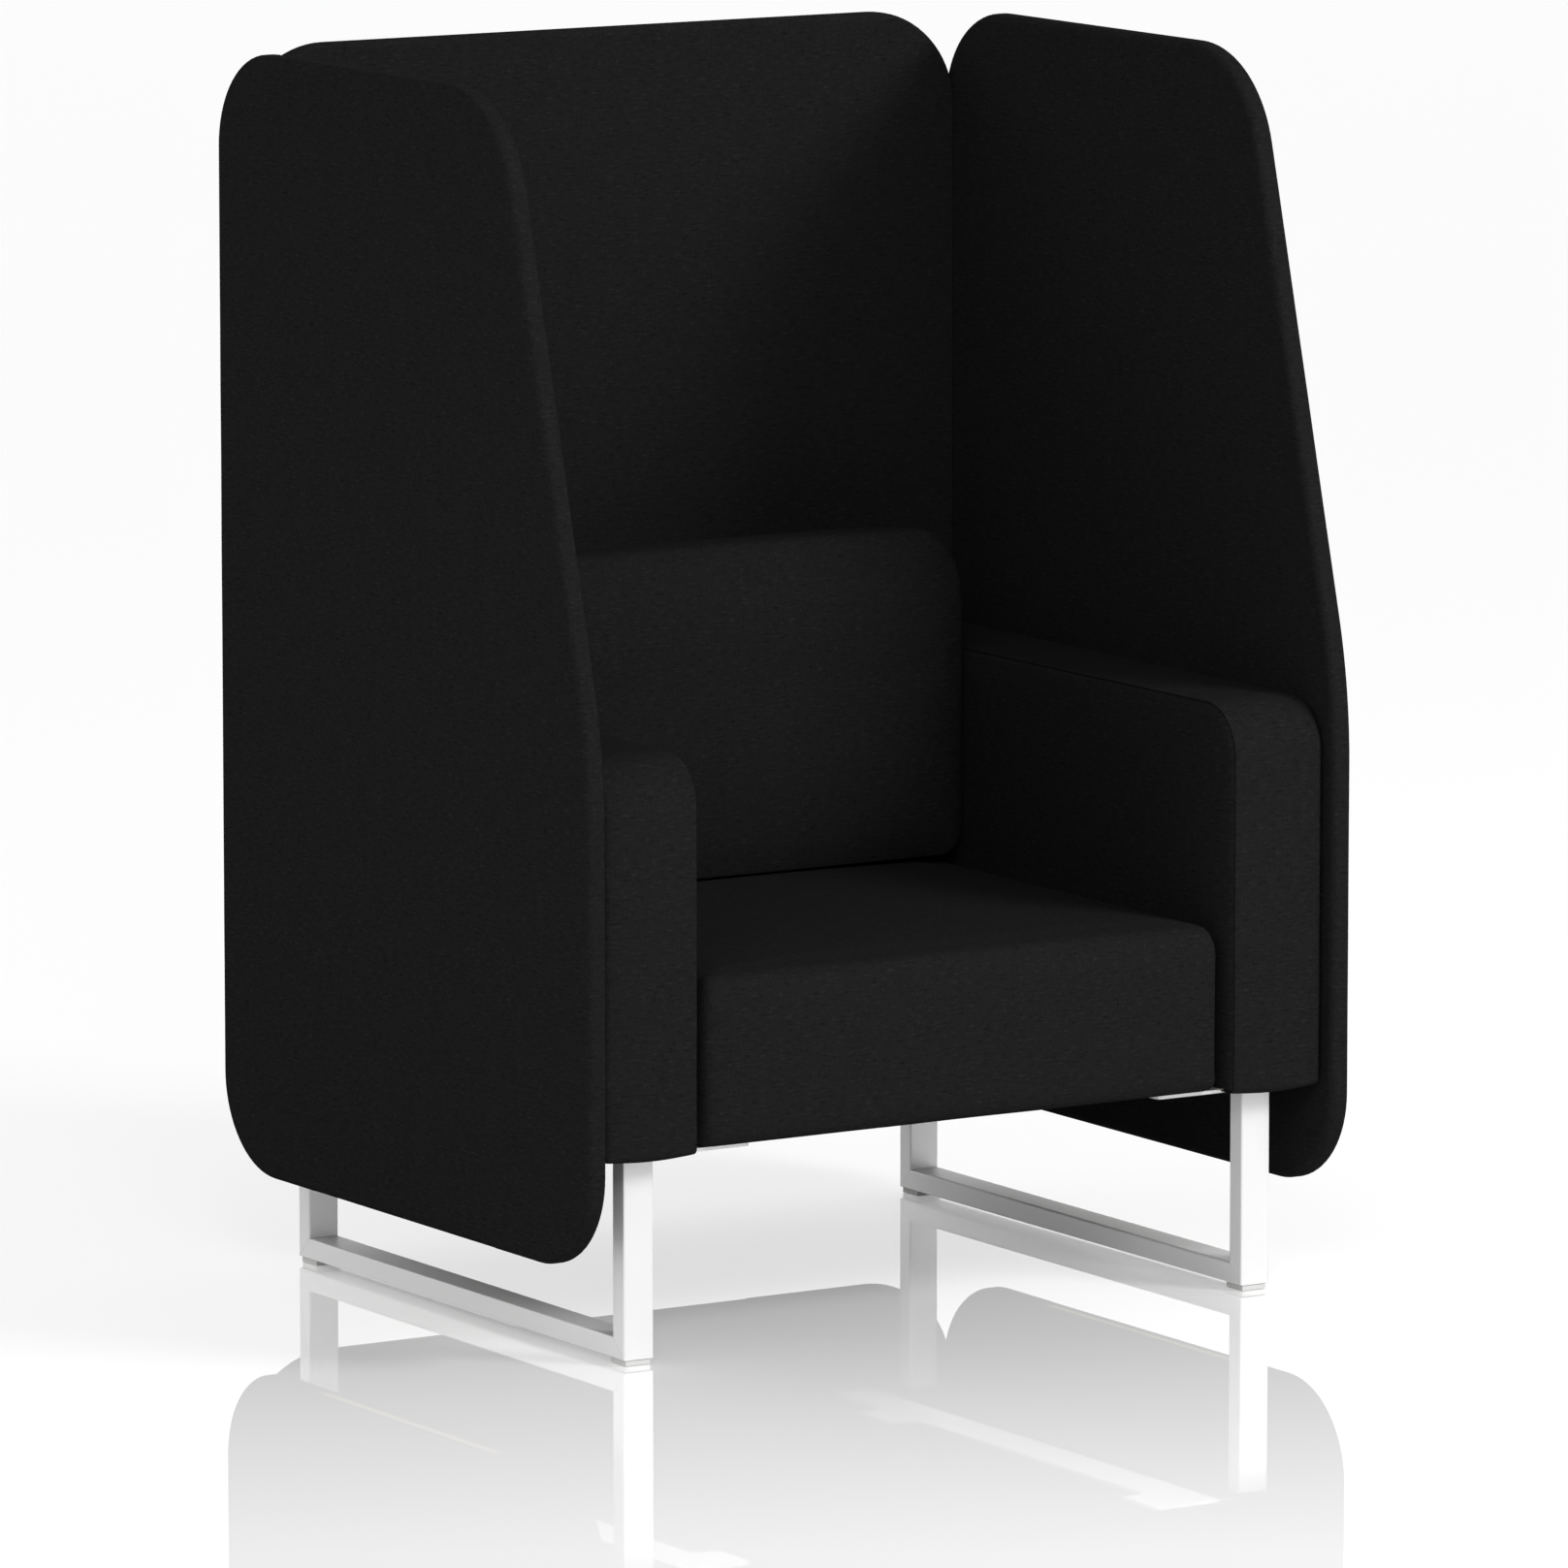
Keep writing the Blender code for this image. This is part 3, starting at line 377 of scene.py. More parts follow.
def ripple(made, depth, size, axes=(0, 1, 2)):
    """Slight unevenness of padding under cloth, along the axes named."""
    mesh = made.data
    normals = [v.normal.copy() for v in mesh.vertices]
    for vert, normal in zip(mesh.vertices, normals):
        move = depth * (noise.noise(vert.co / size) - 1) / 2
        for axis in axes:
            vert.co[axis] += normal[axis] * move
    mesh.update()


def sew(made, path, depth=SEAM_DEPTH, width=SEAM_WIDTH):
    """Press a sewn seam into a piece along a path, a little deeper at each stitch."""
    tree = kdtree.KDTree(len(path))
    along = [0.0]
    for i, point in enumerate(path):
        tree.insert(point, i)
        if i:
            along.append(along[-1] + (Vector(point) - Vector(path[i - 1])).length)
    tree.balance()
    mesh = made.data
    normals = [v.normal.copy() for v in mesh.vertices]
    for vert, normal in zip(mesh.vertices, normals):
        index, gap = tree.find(vert.co)[1:]
        if gap < SEAM_REACH * width:
            pucker = 1 + STITCH_PUCKER * math.cos(2 * math.pi * along[index] / STITCH_PITCH)
            vert.co -= normal * (depth * pucker * math.exp(-(gap / width) ** 2))
    mesh.update()


def apply_modifiers(made):
    """Keep the shape that the modifiers give, and drop them."""
    view = made.evaluated_get(bpy.context.evaluated_depsgraph_get())
    shaped = bpy.data.meshes.new_from_object(view)
    made.modifiers.clear()
    made.data = shaped


def plump(made, still, cap):
    """Swell a padded piece as cloth; still says how fixed a point is, cap its longest move."""
    even = made.modifiers.new("even_mesh", "REMESH")
    even.mode = "VOXEL"
    even.voxel_size = VOXEL
    apply_modifiers(made)
    mesh = made.data
    held = made.vertex_groups.new(name="held")
    for vert in mesh.vertices:
        held.add([vert.index], still(vert.co), "REPLACE")
    rest = [vert.co.copy() for vert in mesh.vertices]
    cloth = made.modifiers.new("swelling", "CLOTH")
    cloth.settings.vertex_group_mass = "held"
    cloth.settings.use_pressure = True
    cloth.settings.uniform_pressure_force = SWELL_PRESSURE
    cloth.settings.effector_weights.gravity = 0.0
    cloth.collision_settings.use_collision = False
    for number in range(1, SWELL_FRAMES + 1):
        scene.frame_set(number)
    swollen = made.evaluated_get(bpy.context.evaluated_depsgraph_get())
    ends = [vert.co.copy() for vert in swollen.data.vertices]
    made.modifiers.remove(cloth)
    scene.frame_set(1)
    for vert, start, end in zip(mesh.vertices, rest, ends):
        move = end - start
        most = cap(start)
        if move.length > 0 and most > 0:
            vert.co = start + move.normalized() * (most * math.tanh(move.length / most))
    smooth = made.modifiers.new("even_cloth", "SMOOTH")
    smooth.factor = SMOOTH_FACTOR
    smooth.iterations = SMOOTH_ROUNDS
    apply_modifiers(made)
    made.data.shade_smooth()


def block(name, low, high):
    """Plain box between two corners, as a cutting form."""
    low, high = [min(p) for p in zip(low, high)], [max(p) for p in zip(low, high)]
    mesh = bpy.data.meshes.new(name)
    corners = [(x, y, z) for x in (low[0], high[0]) for y in (low[1], high[1])
               for z in (low[2], high[2])]
    sides = [(0, 1, 3, 2), (4, 6, 7, 5), (0, 4, 5, 1), (2, 3, 7, 6), (0, 2, 6, 4), (1, 5, 7, 3)]
    mesh.from_pydata(corners, [], sides)
    made = bpy.data.objects.new(name, mesh)
    scene.collection.objects.link(made)
    return made


def carve(made, tool):
    """Cut a closed form out of a padded piece, for the frame inside it."""
    step = made.modifiers.new("pocket", "BOOLEAN")
    step.operation = "DIFFERENCE"
    step.solver = "MANIFOLD"
    step.object = tool
    apply_modifiers(made)
    made.data.set_sharp_from_angle(angle=SHARP_ANGLE)
    bpy.data.objects.remove(tool, do_unlink=True)


# Materials

def new_material(name, roughness, **sockets):
    """Principled material with the sockets that stay the same all over it."""
    made = bpy.data.materials.new(name)
    made.use_nodes = True
    tree = made.node_tree
    shader = tree.nodes["Principled BSDF"]
    shader.inputs["Roughness"].default_value = roughness
    for key, value in sockets.items():
        shader.inputs[key.replace("_", " ")].default_value = value
    return made, tree, shader


def add(tree, kind, **settings):
    """New node; a setting that is an input's name goes on that input."""
    made = tree.nodes.new(kind)
    for key, value in settings.items():
        title = key.replace("_", " ")
        if title in made.inputs:
            made.inputs[title].default_value = value
        else:
            setattr(made, key, value)
    return made


def math_node(tree, operation, first, second):
    """Math node of two links or numbers."""
    made = tree.nodes.new("ShaderNodeMath")
    made.operation = operation
    for socket, value in zip(made.inputs, (first, second)):
        if isinstance(value, (int, float)):
            socket.default_value = value
        else:
            tree.links.new(value, socket)
    return made.outputs[0]


def either(tree, choice, first, second):
    """First number where the choice is 0, second where it is 1."""
    made = tree.nodes.new("ShaderNodeMix")
    tree.links.new(choice, made.inputs["Factor"])
    for socket, value in zip(MIX_NUMBERS, (first, second)):
        tree.links.new(value, made.inputs[socket])
    return made.outputs[0]


def panel_coordinates(tree):
    """Position on the cloth of each panel, in metres, chosen by the way that the surface faces."""
    source = tree.nodes.new("ShaderNodeTexCoord")
    place = tree.nodes.new("ShaderNodeSeparateXYZ")
    facing = tree.nodes.new("ShaderNodeSeparateXYZ")
    tree.links.new(source.outputs["Object"], place.inputs[0])
    tree.links.new(source.outputs["Normal"], facing.inputs[0])
    x, y, z = [math_node(tree, "ABSOLUTE", facing.outputs[k], 0.0) for k in range(3)]
    faces_side = math_node(tree, "GREATER_THAN", x, math_node(tree, "MAXIMUM", y, z))
    faces_up = math_node(tree, "GREATER_THAN", z, math_node(tree, "MAXIMUM", x, y))
    across = either(tree, faces_side, place.outputs["X"], place.outputs["Y"])
    upward = either(tree, faces_up, place.outputs["Z"], place.outputs["Y"])
    joined = tree.nodes.new("ShaderNodeCombineXYZ")
    tree.links.new(across, joined.inputs["X"])
    tree.links.new(upward, joined.inputs["Y"])
    tree.links.new(facing.outputs["X"], joined.inputs["Z"])
    return joined.outputs[0]


def grey(level):
    """Neutral colour."""
    return (level, level, level)


def stretched_noise(tree, coordinates, scale, detail=1.0):
    """Noise with its own scale along each direction, per metre."""
    mapping = add(tree, "ShaderNodeMapping", Scale=scale)
    tree.links.new(coordinates, mapping.inputs["Vector"])
    made = add(tree, "ShaderNodeTexNoise", Scale=1.0, Detail=detail, Roughness=0.5)
    tree.links.new(mapping.outputs[0], made.inputs["Vector"])
    return made.outputs[0]


def ramp(tree, factor, stops):
    """Colour ramp from pairs of a position and a colour or a grey level."""
    made = tree.nodes.new("ShaderNodeValToRGB")
    bands = made.color_ramp.elements
    bands[0].position = stops[0][0]
    bands[1].position = stops[-1][0]
    for stop in stops[1:-1]:
        bands.new(stop[0])
    for band, stop in zip(bands, stops):
        colour = grey(stop[1]) if isinstance(stop[1], float) else stop[1]
        band.color = (*colour, 1.0)
    tree.links.new(factor, made.inputs["Fac"])
    return made.outputs["Color"]


def shaded(tree, factor, tones):
    """Two tones over the range where most of a noise lies."""
    return ramp(tree, factor, tuple(zip((NOISE_LOW, NOISE_HIGH), tones)))


def multiply(tree, first, second):
    """Two colours multiplied."""
    made = add(tree, "ShaderNodeMix", data_type="RGBA", blend_type="MULTIPLY")
    made.inputs["Factor"].default_value = 1.0
    for socket, value in zip(MIX_COLOURS, (first, second)):
        tree.links.new(value, made.inputs[socket])
    return made.outputs[MIXED_COLOUR]


def bumped(tree, shader, height, strength, distance):
    """Bump on the shader from a height."""
    made = add(tree, "ShaderNodeBump", Strength=strength, Distance=distance)
    tree.links.new(height, made.inputs["Height"])
    tree.links.new(made.outputs["Normal"], shader.inputs["Normal"])


def upholstery():
    """Black wool cloth: plain weave, light and dark yarn flecks, a little fuzz."""
    made, tree, shader = new_material("black_wool_cloth", roughness=0.9, Sheen_Weight=0.004,
                                      Sheen_Roughness=0.5, Specular_IOR_Level=0.0)
    coordinates = panel_coordinates(tree)
    weft = stretched_noise(tree, coordinates, WEFT_SCALE, detail=2.0)
    warp = stretched_noise(tree, coordinates, WARP_SCALE, detail=2.0)
    speckle = stretched_noise(tree, coordinates, SPECKLE_SCALE, detail=2.0)
    cloud = stretched_noise(tree, coordinates, CLOUD_SCALE, detail=3.0)
    base = ramp(tree, weft, WEFT_TONES)
    crossing = ramp(tree, warp, WARP_TONES)
    grain = shaded(tree, speckle, SPECKLE_TONES)
    patches = shaded(tree, cloud, CLOUD_TONES)
    tone = multiply(tree, multiply(tree, base, crossing), multiply(tree, grain, patches))
    tree.links.new(tone, shader.inputs["Base Color"])
    rows, columns = [add(tree, "ShaderNodeTexWave", bands_direction=direction, Scale=scale,
                         Distortion=WEAVE_WOBBLE, Detail_Scale=WEAVE_WOBBLE_SCALE)
                     for direction, scale in (("Y", WEAVE_ROWS), ("X", WEAVE_COLUMNS))]
    for bands in (rows, columns):
        tree.links.new(coordinates, bands.inputs["Vector"])
    weave = math_node(tree, "MULTIPLY", rows.outputs["Fac"], columns.outputs["Fac"])
    yarn = math_node(tree, "ADD", weft, warp)
    bumped(tree, shader, math_node(tree, "ADD", weave, yarn), *WEAVE_BUMP)
    return made


def underside_cloth():
    """Thin black non-woven cloth."""
    made, tree, shader = new_material("black_nonwoven_cloth", roughness=0.95,
                                      Specular_IOR_Level=0.2)
    coordinates = panel_coordinates(tree)
    fibres = stretched_noise(tree, coordinates, FIBRE_SCALE, detail=3.0)
    tree.links.new(shaded(tree, fibres, FIBRE_TONES), shader.inputs["Base Color"])
    dots = add(tree, "ShaderNodeTexVoronoi", Scale=BOND_SCALE)
    tree.links.new(coordinates, dots.inputs["Vector"])
    bumped(tree, shader, dots.outputs["Distance"], *BOND_BUMP)
    return made


def powder_coat():
    """White satin powder coat with a trace of orange peel."""
    made, tree, shader = new_material("white_powder_coat", roughness=0.3, Specular_IOR_Level=0.5)
    source = tree.nodes.new("ShaderNodeTexCoord").outputs["Object"]
    tone = stretched_noise(tree, source, COAT_SCALE, detail=2.0)
    peel = stretched_noise(tree, source, PEEL_SCALE)
    tree.links.new(shaded(tree, tone, COAT_TONES), shader.inputs["Base Color"])
    tree.links.new(shaded(tree, tone, COAT_ROUGHNESS), shader.inputs["Roughness"])
    bumped(tree, shader, peel, *PEEL_BUMP)
    return made


def moulded(name, tones, roughness):
    """Moulded plastic with a fine grain."""
    made, tree, shader = new_material(name, roughness)
    source = tree.nodes.new("ShaderNodeTexCoord").outputs["Object"]
    grain = stretched_noise(tree, source, NYLON_SCALE, detail=2.0)
    tree.links.new(shaded(tree, grain, tones), shader.inputs["Base Color"])
    bumped(tree, shader, grain, *NYLON_BUMP)
    return made


def timber(name, tones, scale):
    """Wood with figure at a scale along each axis, and finer pores."""
    made, tree, shader = new_material(name, roughness=0.6)
    source = tree.nodes.new("ShaderNodeTexCoord").outputs["Object"]
    figure = stretched_noise(tree, source, scale, detail=4.0)
    pores = stretched_noise(tree, source, tuple(PORE_FINENESS * k for k in scale), detail=2.0)
    tone = multiply(tree, shaded(tree, figure, tones), ramp(tree, pores, PORE_TONES))
    tree.links.new(tone, shader.inputs["Base Color"])
    bumped(tree, shader, pores, *PORE_BUMP)
    return made


def plated_steel():
    """Zinc-plated steel with fine brushing."""
    made, tree, shader = new_material("zinc_plated_steel", roughness=0.35, Metallic=1.0)
    source = tree.nodes.new("ShaderNodeTexCoord").outputs["Object"]
    brush = stretched_noise(tree, source, BRUSH_SCALE, detail=2.0)
    tree.links.new(shaded(tree, brush, STEEL_TONES), shader.inputs["Base Color"])
    tree.links.new(shaded(tree, brush, STEEL_ROUGHNESS), shader.inputs["Roughness"])
    return made


def webbing():
    """Grey elastic webbing with lengthwise ribs."""
    made, tree, shader = new_material("grey_elastic_webbing", roughness=0.85,
                                      Specular_IOR_Level=0.3)
    source = tree.nodes.new("ShaderNodeTexCoord").outputs["Object"]
    ribs = add(tree, "ShaderNodeTexWave", bands_direction="X", Scale=RIB_SCALE,
               Distortion=RIB_WOBBLE)
    tree.links.new(source, ribs.inputs["Vector"])
    tree.links.new(ramp(tree, ribs.outputs["Fac"], RIB_TONES), shader.inputs["Base Color"])
    bumped(tree, shader, ribs.outputs["Fac"], *RIB_BUMP)
    return made


CLOTH = upholstery()
UNDERSIDE = underside_cloth()
FINISHES = {
    "white_painted_steel": powder_coat(),
    "white_nylon": moulded("white_nylon", WHITE_NYLON_TONES, roughness=0.45),
    "black_nylon": moulded("black_nylon", BLACK_NYLON_TONES, roughness=0.5),
    "birch_plywood": timber("birch_plywood", BIRCH_TONES, BIRCH_SCALE),
    "beech_timber": timber("beech_timber", BEECH_TONES, BEECH_SCALE),
    "zinc_plated_steel": plated_steel(),
    "grey_elastic_webbing": webbing(),
    "black_underside_cloth": UNDERSIDE,
    "black_upholstery_fabric": CLOTH,
}
for finish in frame["record"]["materials"]:
    for node_name in finish.get("nodes", []):
        node = frame["nodes"][node_name]
        node.data.materials.clear()
        node.data.materials.append(FINISHES[finish["slot"]])


# Upholstery

def dress(made, fill, *nodes):
    """Attach a padded piece to the root body and hide the solids that it stands for."""
    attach(made, "root")
    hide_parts(*nodes)


def upholstered_screen(name, form, ring, near, far, place, axis, node, near_swell=SCREEN_SWELL):
    """Screen cover: flat padded faces, soft round edges, hollow for its board, slotted below."""
    edge = quarter(SCREEN_EDGE_ROUND)
    low = near + near_swell
    high = far - SCREEN_SWELL
    band = [ring(inset, low + rise) for inset, rise in edge]
    band += [ring(0.0, low + (high - low) * k / SCREEN_STEPS) for k in SCREEN_MIDDLE_STEPS]
    band += [ring(inset, high - rise) for inset, rise in reversed(edge)]
    near_cap = cap_rings(band[0], -near_swell, domed(SCREEN_SWELL_REACH))
    far_cap = cap_rings(band[-1], SCREEN_SWELL, domed(SCREEN_SWELL_REACH))
    made = skin(name, near_cap[::-1] + band + far_cap, place, CLOTH)
    ripple(made, *SCREEN_RIPPLE, (axis,))
    room = (near + SCREEN_PAD - FIT, far - SCREEN_PAD + FIT)
    carve(made, skin("cavity", [form.ring(SCREEN_PAD, level) for level in room], place, CLOTH))
    bottom = form.corners[0].y
    carve(made, block("slot", place(-COVER_SLOT_LENGTH / 2, bottom - PAST, room[0]),
                      place(COVER_SLOT_LENGTH / 2, bottom + 2 * SCREEN_PAD, room[1])))
    dress(made, SCREEN_FILL, node)


def sideways(sign):
    """Outline in Y and Z, thickness along X, on the left or the right."""
    return lambda u, v, h: (sign * h, u, v)


def along_y(u, v, h):
    """Outline in X and Z, thickness along Y."""
    return (u, h, v)


def along_z(u, v, h):
    """Outline in X and Y, thickness along Z."""
    return (u, v, h)


def close_joint(form, edge, middle=math.inf):
    """Rings whose edge at this place along u loses most of its round, up to this height."""
    def ring(inset, height):
        reach = (1 - JOINT_ROUND_SHARE) * inset if height < middle else 0.0
        moved = [(u + math.copysign(reach, u) * (abs(abs(u) - edge) < FIT), v)
                 for u, v in form.corners]
        return Form(moved, form.radii, form.counts).ring(inset, height)
    return ring


SIDES = {"left": -1, "right": 1}
for side, sign in SIDES.items():
    low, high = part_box(side + "_side_screen_cover")
    near = min(abs(low[0]), abs(high[0]))
    far = max(abs(low[0]), abs(high[0]))
    screen_form = Form([(low[1], low[2]), (high[1], low[2]), (high[1], high[2]),
                        (low[1] + SCREEN_TOP_SETBACK, high[2]), (low[1], SCREEN_BEND_HEIGHT)],
                       [SCREEN_CORNER] * 3 + [SCREEN_FRONT_TOP_CORNER, SCREEN_BEND_RADIUS])
    joint = close_joint(screen_form, high[1], (near + far) / 2)
    upholstered_screen(side + "_screen_upholstery", screen_form, joint, near, far, sideways(sign),
                       axis=0, node=side + "_side_screen_cover", near_swell=0.0)

low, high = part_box("back_screen_cover")
back_form = Form(rectangle(low[0] - BACK_TOUCH, low[2], high[0] + BACK_TOUCH, high[2]),
                 [SCREEN_CORNER] * 4)
joint = close_joint(back_form, high[0] + BACK_TOUCH)
upholstered_screen("back_screen_upholstery", back_form, joint, low[1], high[1], along_y,
                   axis=1, node="back_screen_cover")


def upholstered_arm(side, sign):
    """Arm: a band over the front and top, sewn to an inner panel that rolls out past the seam."""
    low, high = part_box(side + "_arm_pad")
    inner = min(abs(low[0]), abs(high[0]))
    outer = max(abs(low[0]), abs(high[0]))
    rim = inner + ARM_ROLL
    form = Form(rectangle(low[1] + ARM_CROWN, low[2] + ARM_CROWN,
                          high[1] - ARM_CROWN, high[2] - ARM_CROWN),
                [ARM_LOW_CORNER, ARM_REAR_CORNER, ARM_REAR_CORNER, ARM_FRONT_CORNER])
    first = rim + ARM_SEAM_ROUND
    width = outer - ARM_OUTER_ROUND - first
    band = [form.ring(inset, rim + rise) for inset, rise in quarter(ARM_SEAM_ROUND)]
    for k in range(1, ARM_STEPS):
        crown = ARM_CROWN * math.sin(math.pi * k / ARM_STEPS)
        band.append(form.ring(-crown, first + width * k / ARM_STEPS))
    band += [form.ring(inset, outer - rise) for inset, rise in reversed(quarter(ARM_OUTER_ROUND))]
    inner_cap = cap_rings(band[0], -ARM_ROLL, rolled(ARM_ROLL_LENGTH))
    place = sideways(sign)
    rings = inner_cap[::-1] + band + cap_rings(band[-1])
    made = skin(side + "_arm_upholstery", rings, place, CLOTH)
    ripple(made, *ARM_RIPPLE)
    sew(made, [place(*p) for p in form.ring(ARM_SEAM_ROUND, rim)])
    frame_low, frame_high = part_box(side + "_arm_carcass")
    pocket = Form(rectangle(frame_low[1] - FIT, low[2] - PAST, high[1] + PAST, frame_high[2] + FIT),
                  [FIT, FIT, FIT, CARCASS_CORNER])
    reach = sorted(abs(x) for x in (frame_low[0], frame_high[0]))
    room = (reach[0] - FIT, reach[1] + FIT)
    carve(made, skin("pocket", [pocket.ring(0.0, level) for level in room], place, CLOTH))
    plate_low, plate_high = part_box(side + "_mounting_plate")
    carve(made, block("plate_slot", (plate_low[0] - FIT, plate_low[1] - FIT, low[2] - PAST),
                      (plate_high[0] + FIT, high[1] + PAST, plate_high[2] + FIT)))
    dress(made, ARM_FILL, side + "_arm_pad")


for side, sign in SIDES.items():
    upholstered_arm(side, sign)


def around(*nodes):
    """Lowest and highest corners of a group of nodes."""
    boxes = [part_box(name) for name in nodes]
    return ([min(b[0][k] for b in boxes) for k in range(3)],
            [max(b[1][k] for b in boxes) for k in range(3)])


SEAT_RAILS = ["seat_%s_rail" % place for place in ("front", "rear", "left", "right")]
SEAT_FRAME = SEAT_RAILS + ["seat_webbing_strap_%d" % number for number in range(1, STRAPS + 1)]


def upholstered_seat():
    """Seat: one cover pulled over a foam block, crowned on top and swelling at the sides."""
    low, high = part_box("seat_cushion")
    edge_top = high[2] - SEAT_CROWN
    form = Form(rectangle(low[0] + SEAT_BULGE, low[1] + SEAT_BULGE,
                          high[0] - SEAT_BULGE, high[1] - SEAT_BULGE), [SEAT_CORNER] * 4)
    side_low = low[2] + SEAT_LOW_ROUND
    side_high = edge_top - SEAT_TOP_HEIGHT
    rings = [form.ring(inset, low[2] + rise) for inset, rise in quarter(SEAT_LOW_ROUND)]
    for k in range(1, SEAT_SIDE_STEPS):
        rings.append(form.ring(0.0, side_low + (side_high - side_low) * k / SEAT_SIDE_STEPS))
    rings += [form.ring(inset, edge_top - rise)
              for inset, rise in reversed(quarter(SEAT_TOP_ROUND, SEAT_TOP_HEIGHT, SEAT_TOP_STEPS))]
    top = cap_rings(rings[-1], SEAT_CROWN - SEAT_SWELL, domed(SEAT_CROWN_REACH))
    made = skin("seat_upholstery", cap_rings(rings[0])[::-1] + rings + top, along_z, CLOTH)

    def still(point):
        return 1.0 if point.z < side_low else 0.0

    def cap(point):
        share = ease((point.z - side_high) / SEAT_TOP_HEIGHT)
        return SEAT_SIDE_SWELL + (SEAT_SWELL - SEAT_SIDE_SWELL) * share

    plump(made, still, cap)
    ripple(made, *SEAT_RIPPLE)
    frame_low, frame_high = around(*SEAT_FRAME)
    carve(made, block("frame_pocket", (frame_low[0] - FIT, frame_low[1] - FIT, low[2] - PAST),
                      [edge + FIT for edge in frame_high]))
    dress(made, SEAT_FILL, "seat_cushion")


def upholstered_back():
    """Back cushion: long rounded top, close round at the sides, cut flat along the bottom."""
    low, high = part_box("back_cushion")
    front = low[1]
    rear = high[1]
    bottom = low[2] + CUSHION_LIFT
    low[2] = bottom - CUSHION_TRIM
    high[2] += CUSHION_RISE
    radii = [CUSHION_LOW_CORNER] * 2 + [CUSHION_TOP_CORNER] * 2
    counts = Form(rectangle(low[0], low[2], high[0], high[2]), radii).counts

    def section(y, side, base, top):
        corners = rectangle(low[0], low[2] + base - side, high[0], high[2] - top + side)
        return Form(corners, radii, counts).ring(side, y)

    rim = front + CUSHION_CROWN
    crest = rim + CUSHION_TOP_ROUND
    top_stretch = CUSHION_TOP_HEIGHT / CUSHION_TOP_ROUND
    fall = rear - crest
    rings = []
    for inset, rise in quarter(CUSHION_REAR_ROUND):
        share = (fall - rise) / fall
        rings.append(section(rear - rise, inset, inset, inset + CUSHION_REAR_DROP * share ** 2))
    for k in range(CUSHION_FALL_STEPS - 1, 0, -1):
        share = (1 - CUSHION_REAR_ROUND / fall) * k / CUSHION_FALL_STEPS
        rings.append(section(crest + fall * share, 0.0, 0.0, CUSHION_REAR_DROP * share ** 2))
    for k in range(CUSHION_FRONT_STEPS + 1):
        depth = CUSHION_TOP_ROUND * (1 - math.sin(math.pi / 2 * k / CUSHION_FRONT_STEPS))
        rings.append(section(rim + depth, round_inset(CUSHION_SIDE_ROUND, depth),
                             round_inset(CUSHION_LOW_ROUND, depth),
                             top_stretch * round_inset(CUSHION_TOP_ROUND, depth)))
    face = cap_rings(rings[-1], CUSHION_SWELL - CUSHION_CROWN, domed(CUSHION_CROWN_REACH))
    made = skin("back_upholstery", cap_rings(rings[0])[::-1] + rings + face, along_y, CLOTH)

    def still(point):
        return 1.0 if point.y > crest else 0.0

    def cap(point):
        return CUSHION_SWELL * ease((rim + CUSHION_SIDE_ROUND - point.y) / CUSHION_SIDE_ROUND)

    plump(made, still, cap)
    for vert in made.data.vertices:
        edge = high[0] - abs(vert.co.x)
        depth = min(max((crest - vert.co.y) / (crest - front), 0.0), 1.0)
        vert.co.y += CUSHION_SIDE_ROLL * depth * (1 - ease(edge / CUSHION_ROLL_REACH))
    ripple(made, *CUSHION_RIPPLE)
    carve(made, block("trim", (low[0] - PAST, front - PAST, bottom - PAST),
                      (high[0] + PAST, rear + PAST, bottom)))
    board_low, board_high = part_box("back_cushion_board")
    pocket = Form(rectangle(board_low[0] - FIT, board_low[2] - FIT,
                            board_high[0] + FIT, board_high[2] + FIT), [FIT] * 4)
    room = (board_low[1] - FIT, rear + PAST)
    carve(made, skin("pocket", [pocket.ring(0.0, level) for level in room], along_y, CLOTH))
    dress(made, CUSHION_FILL, "back_cushion")


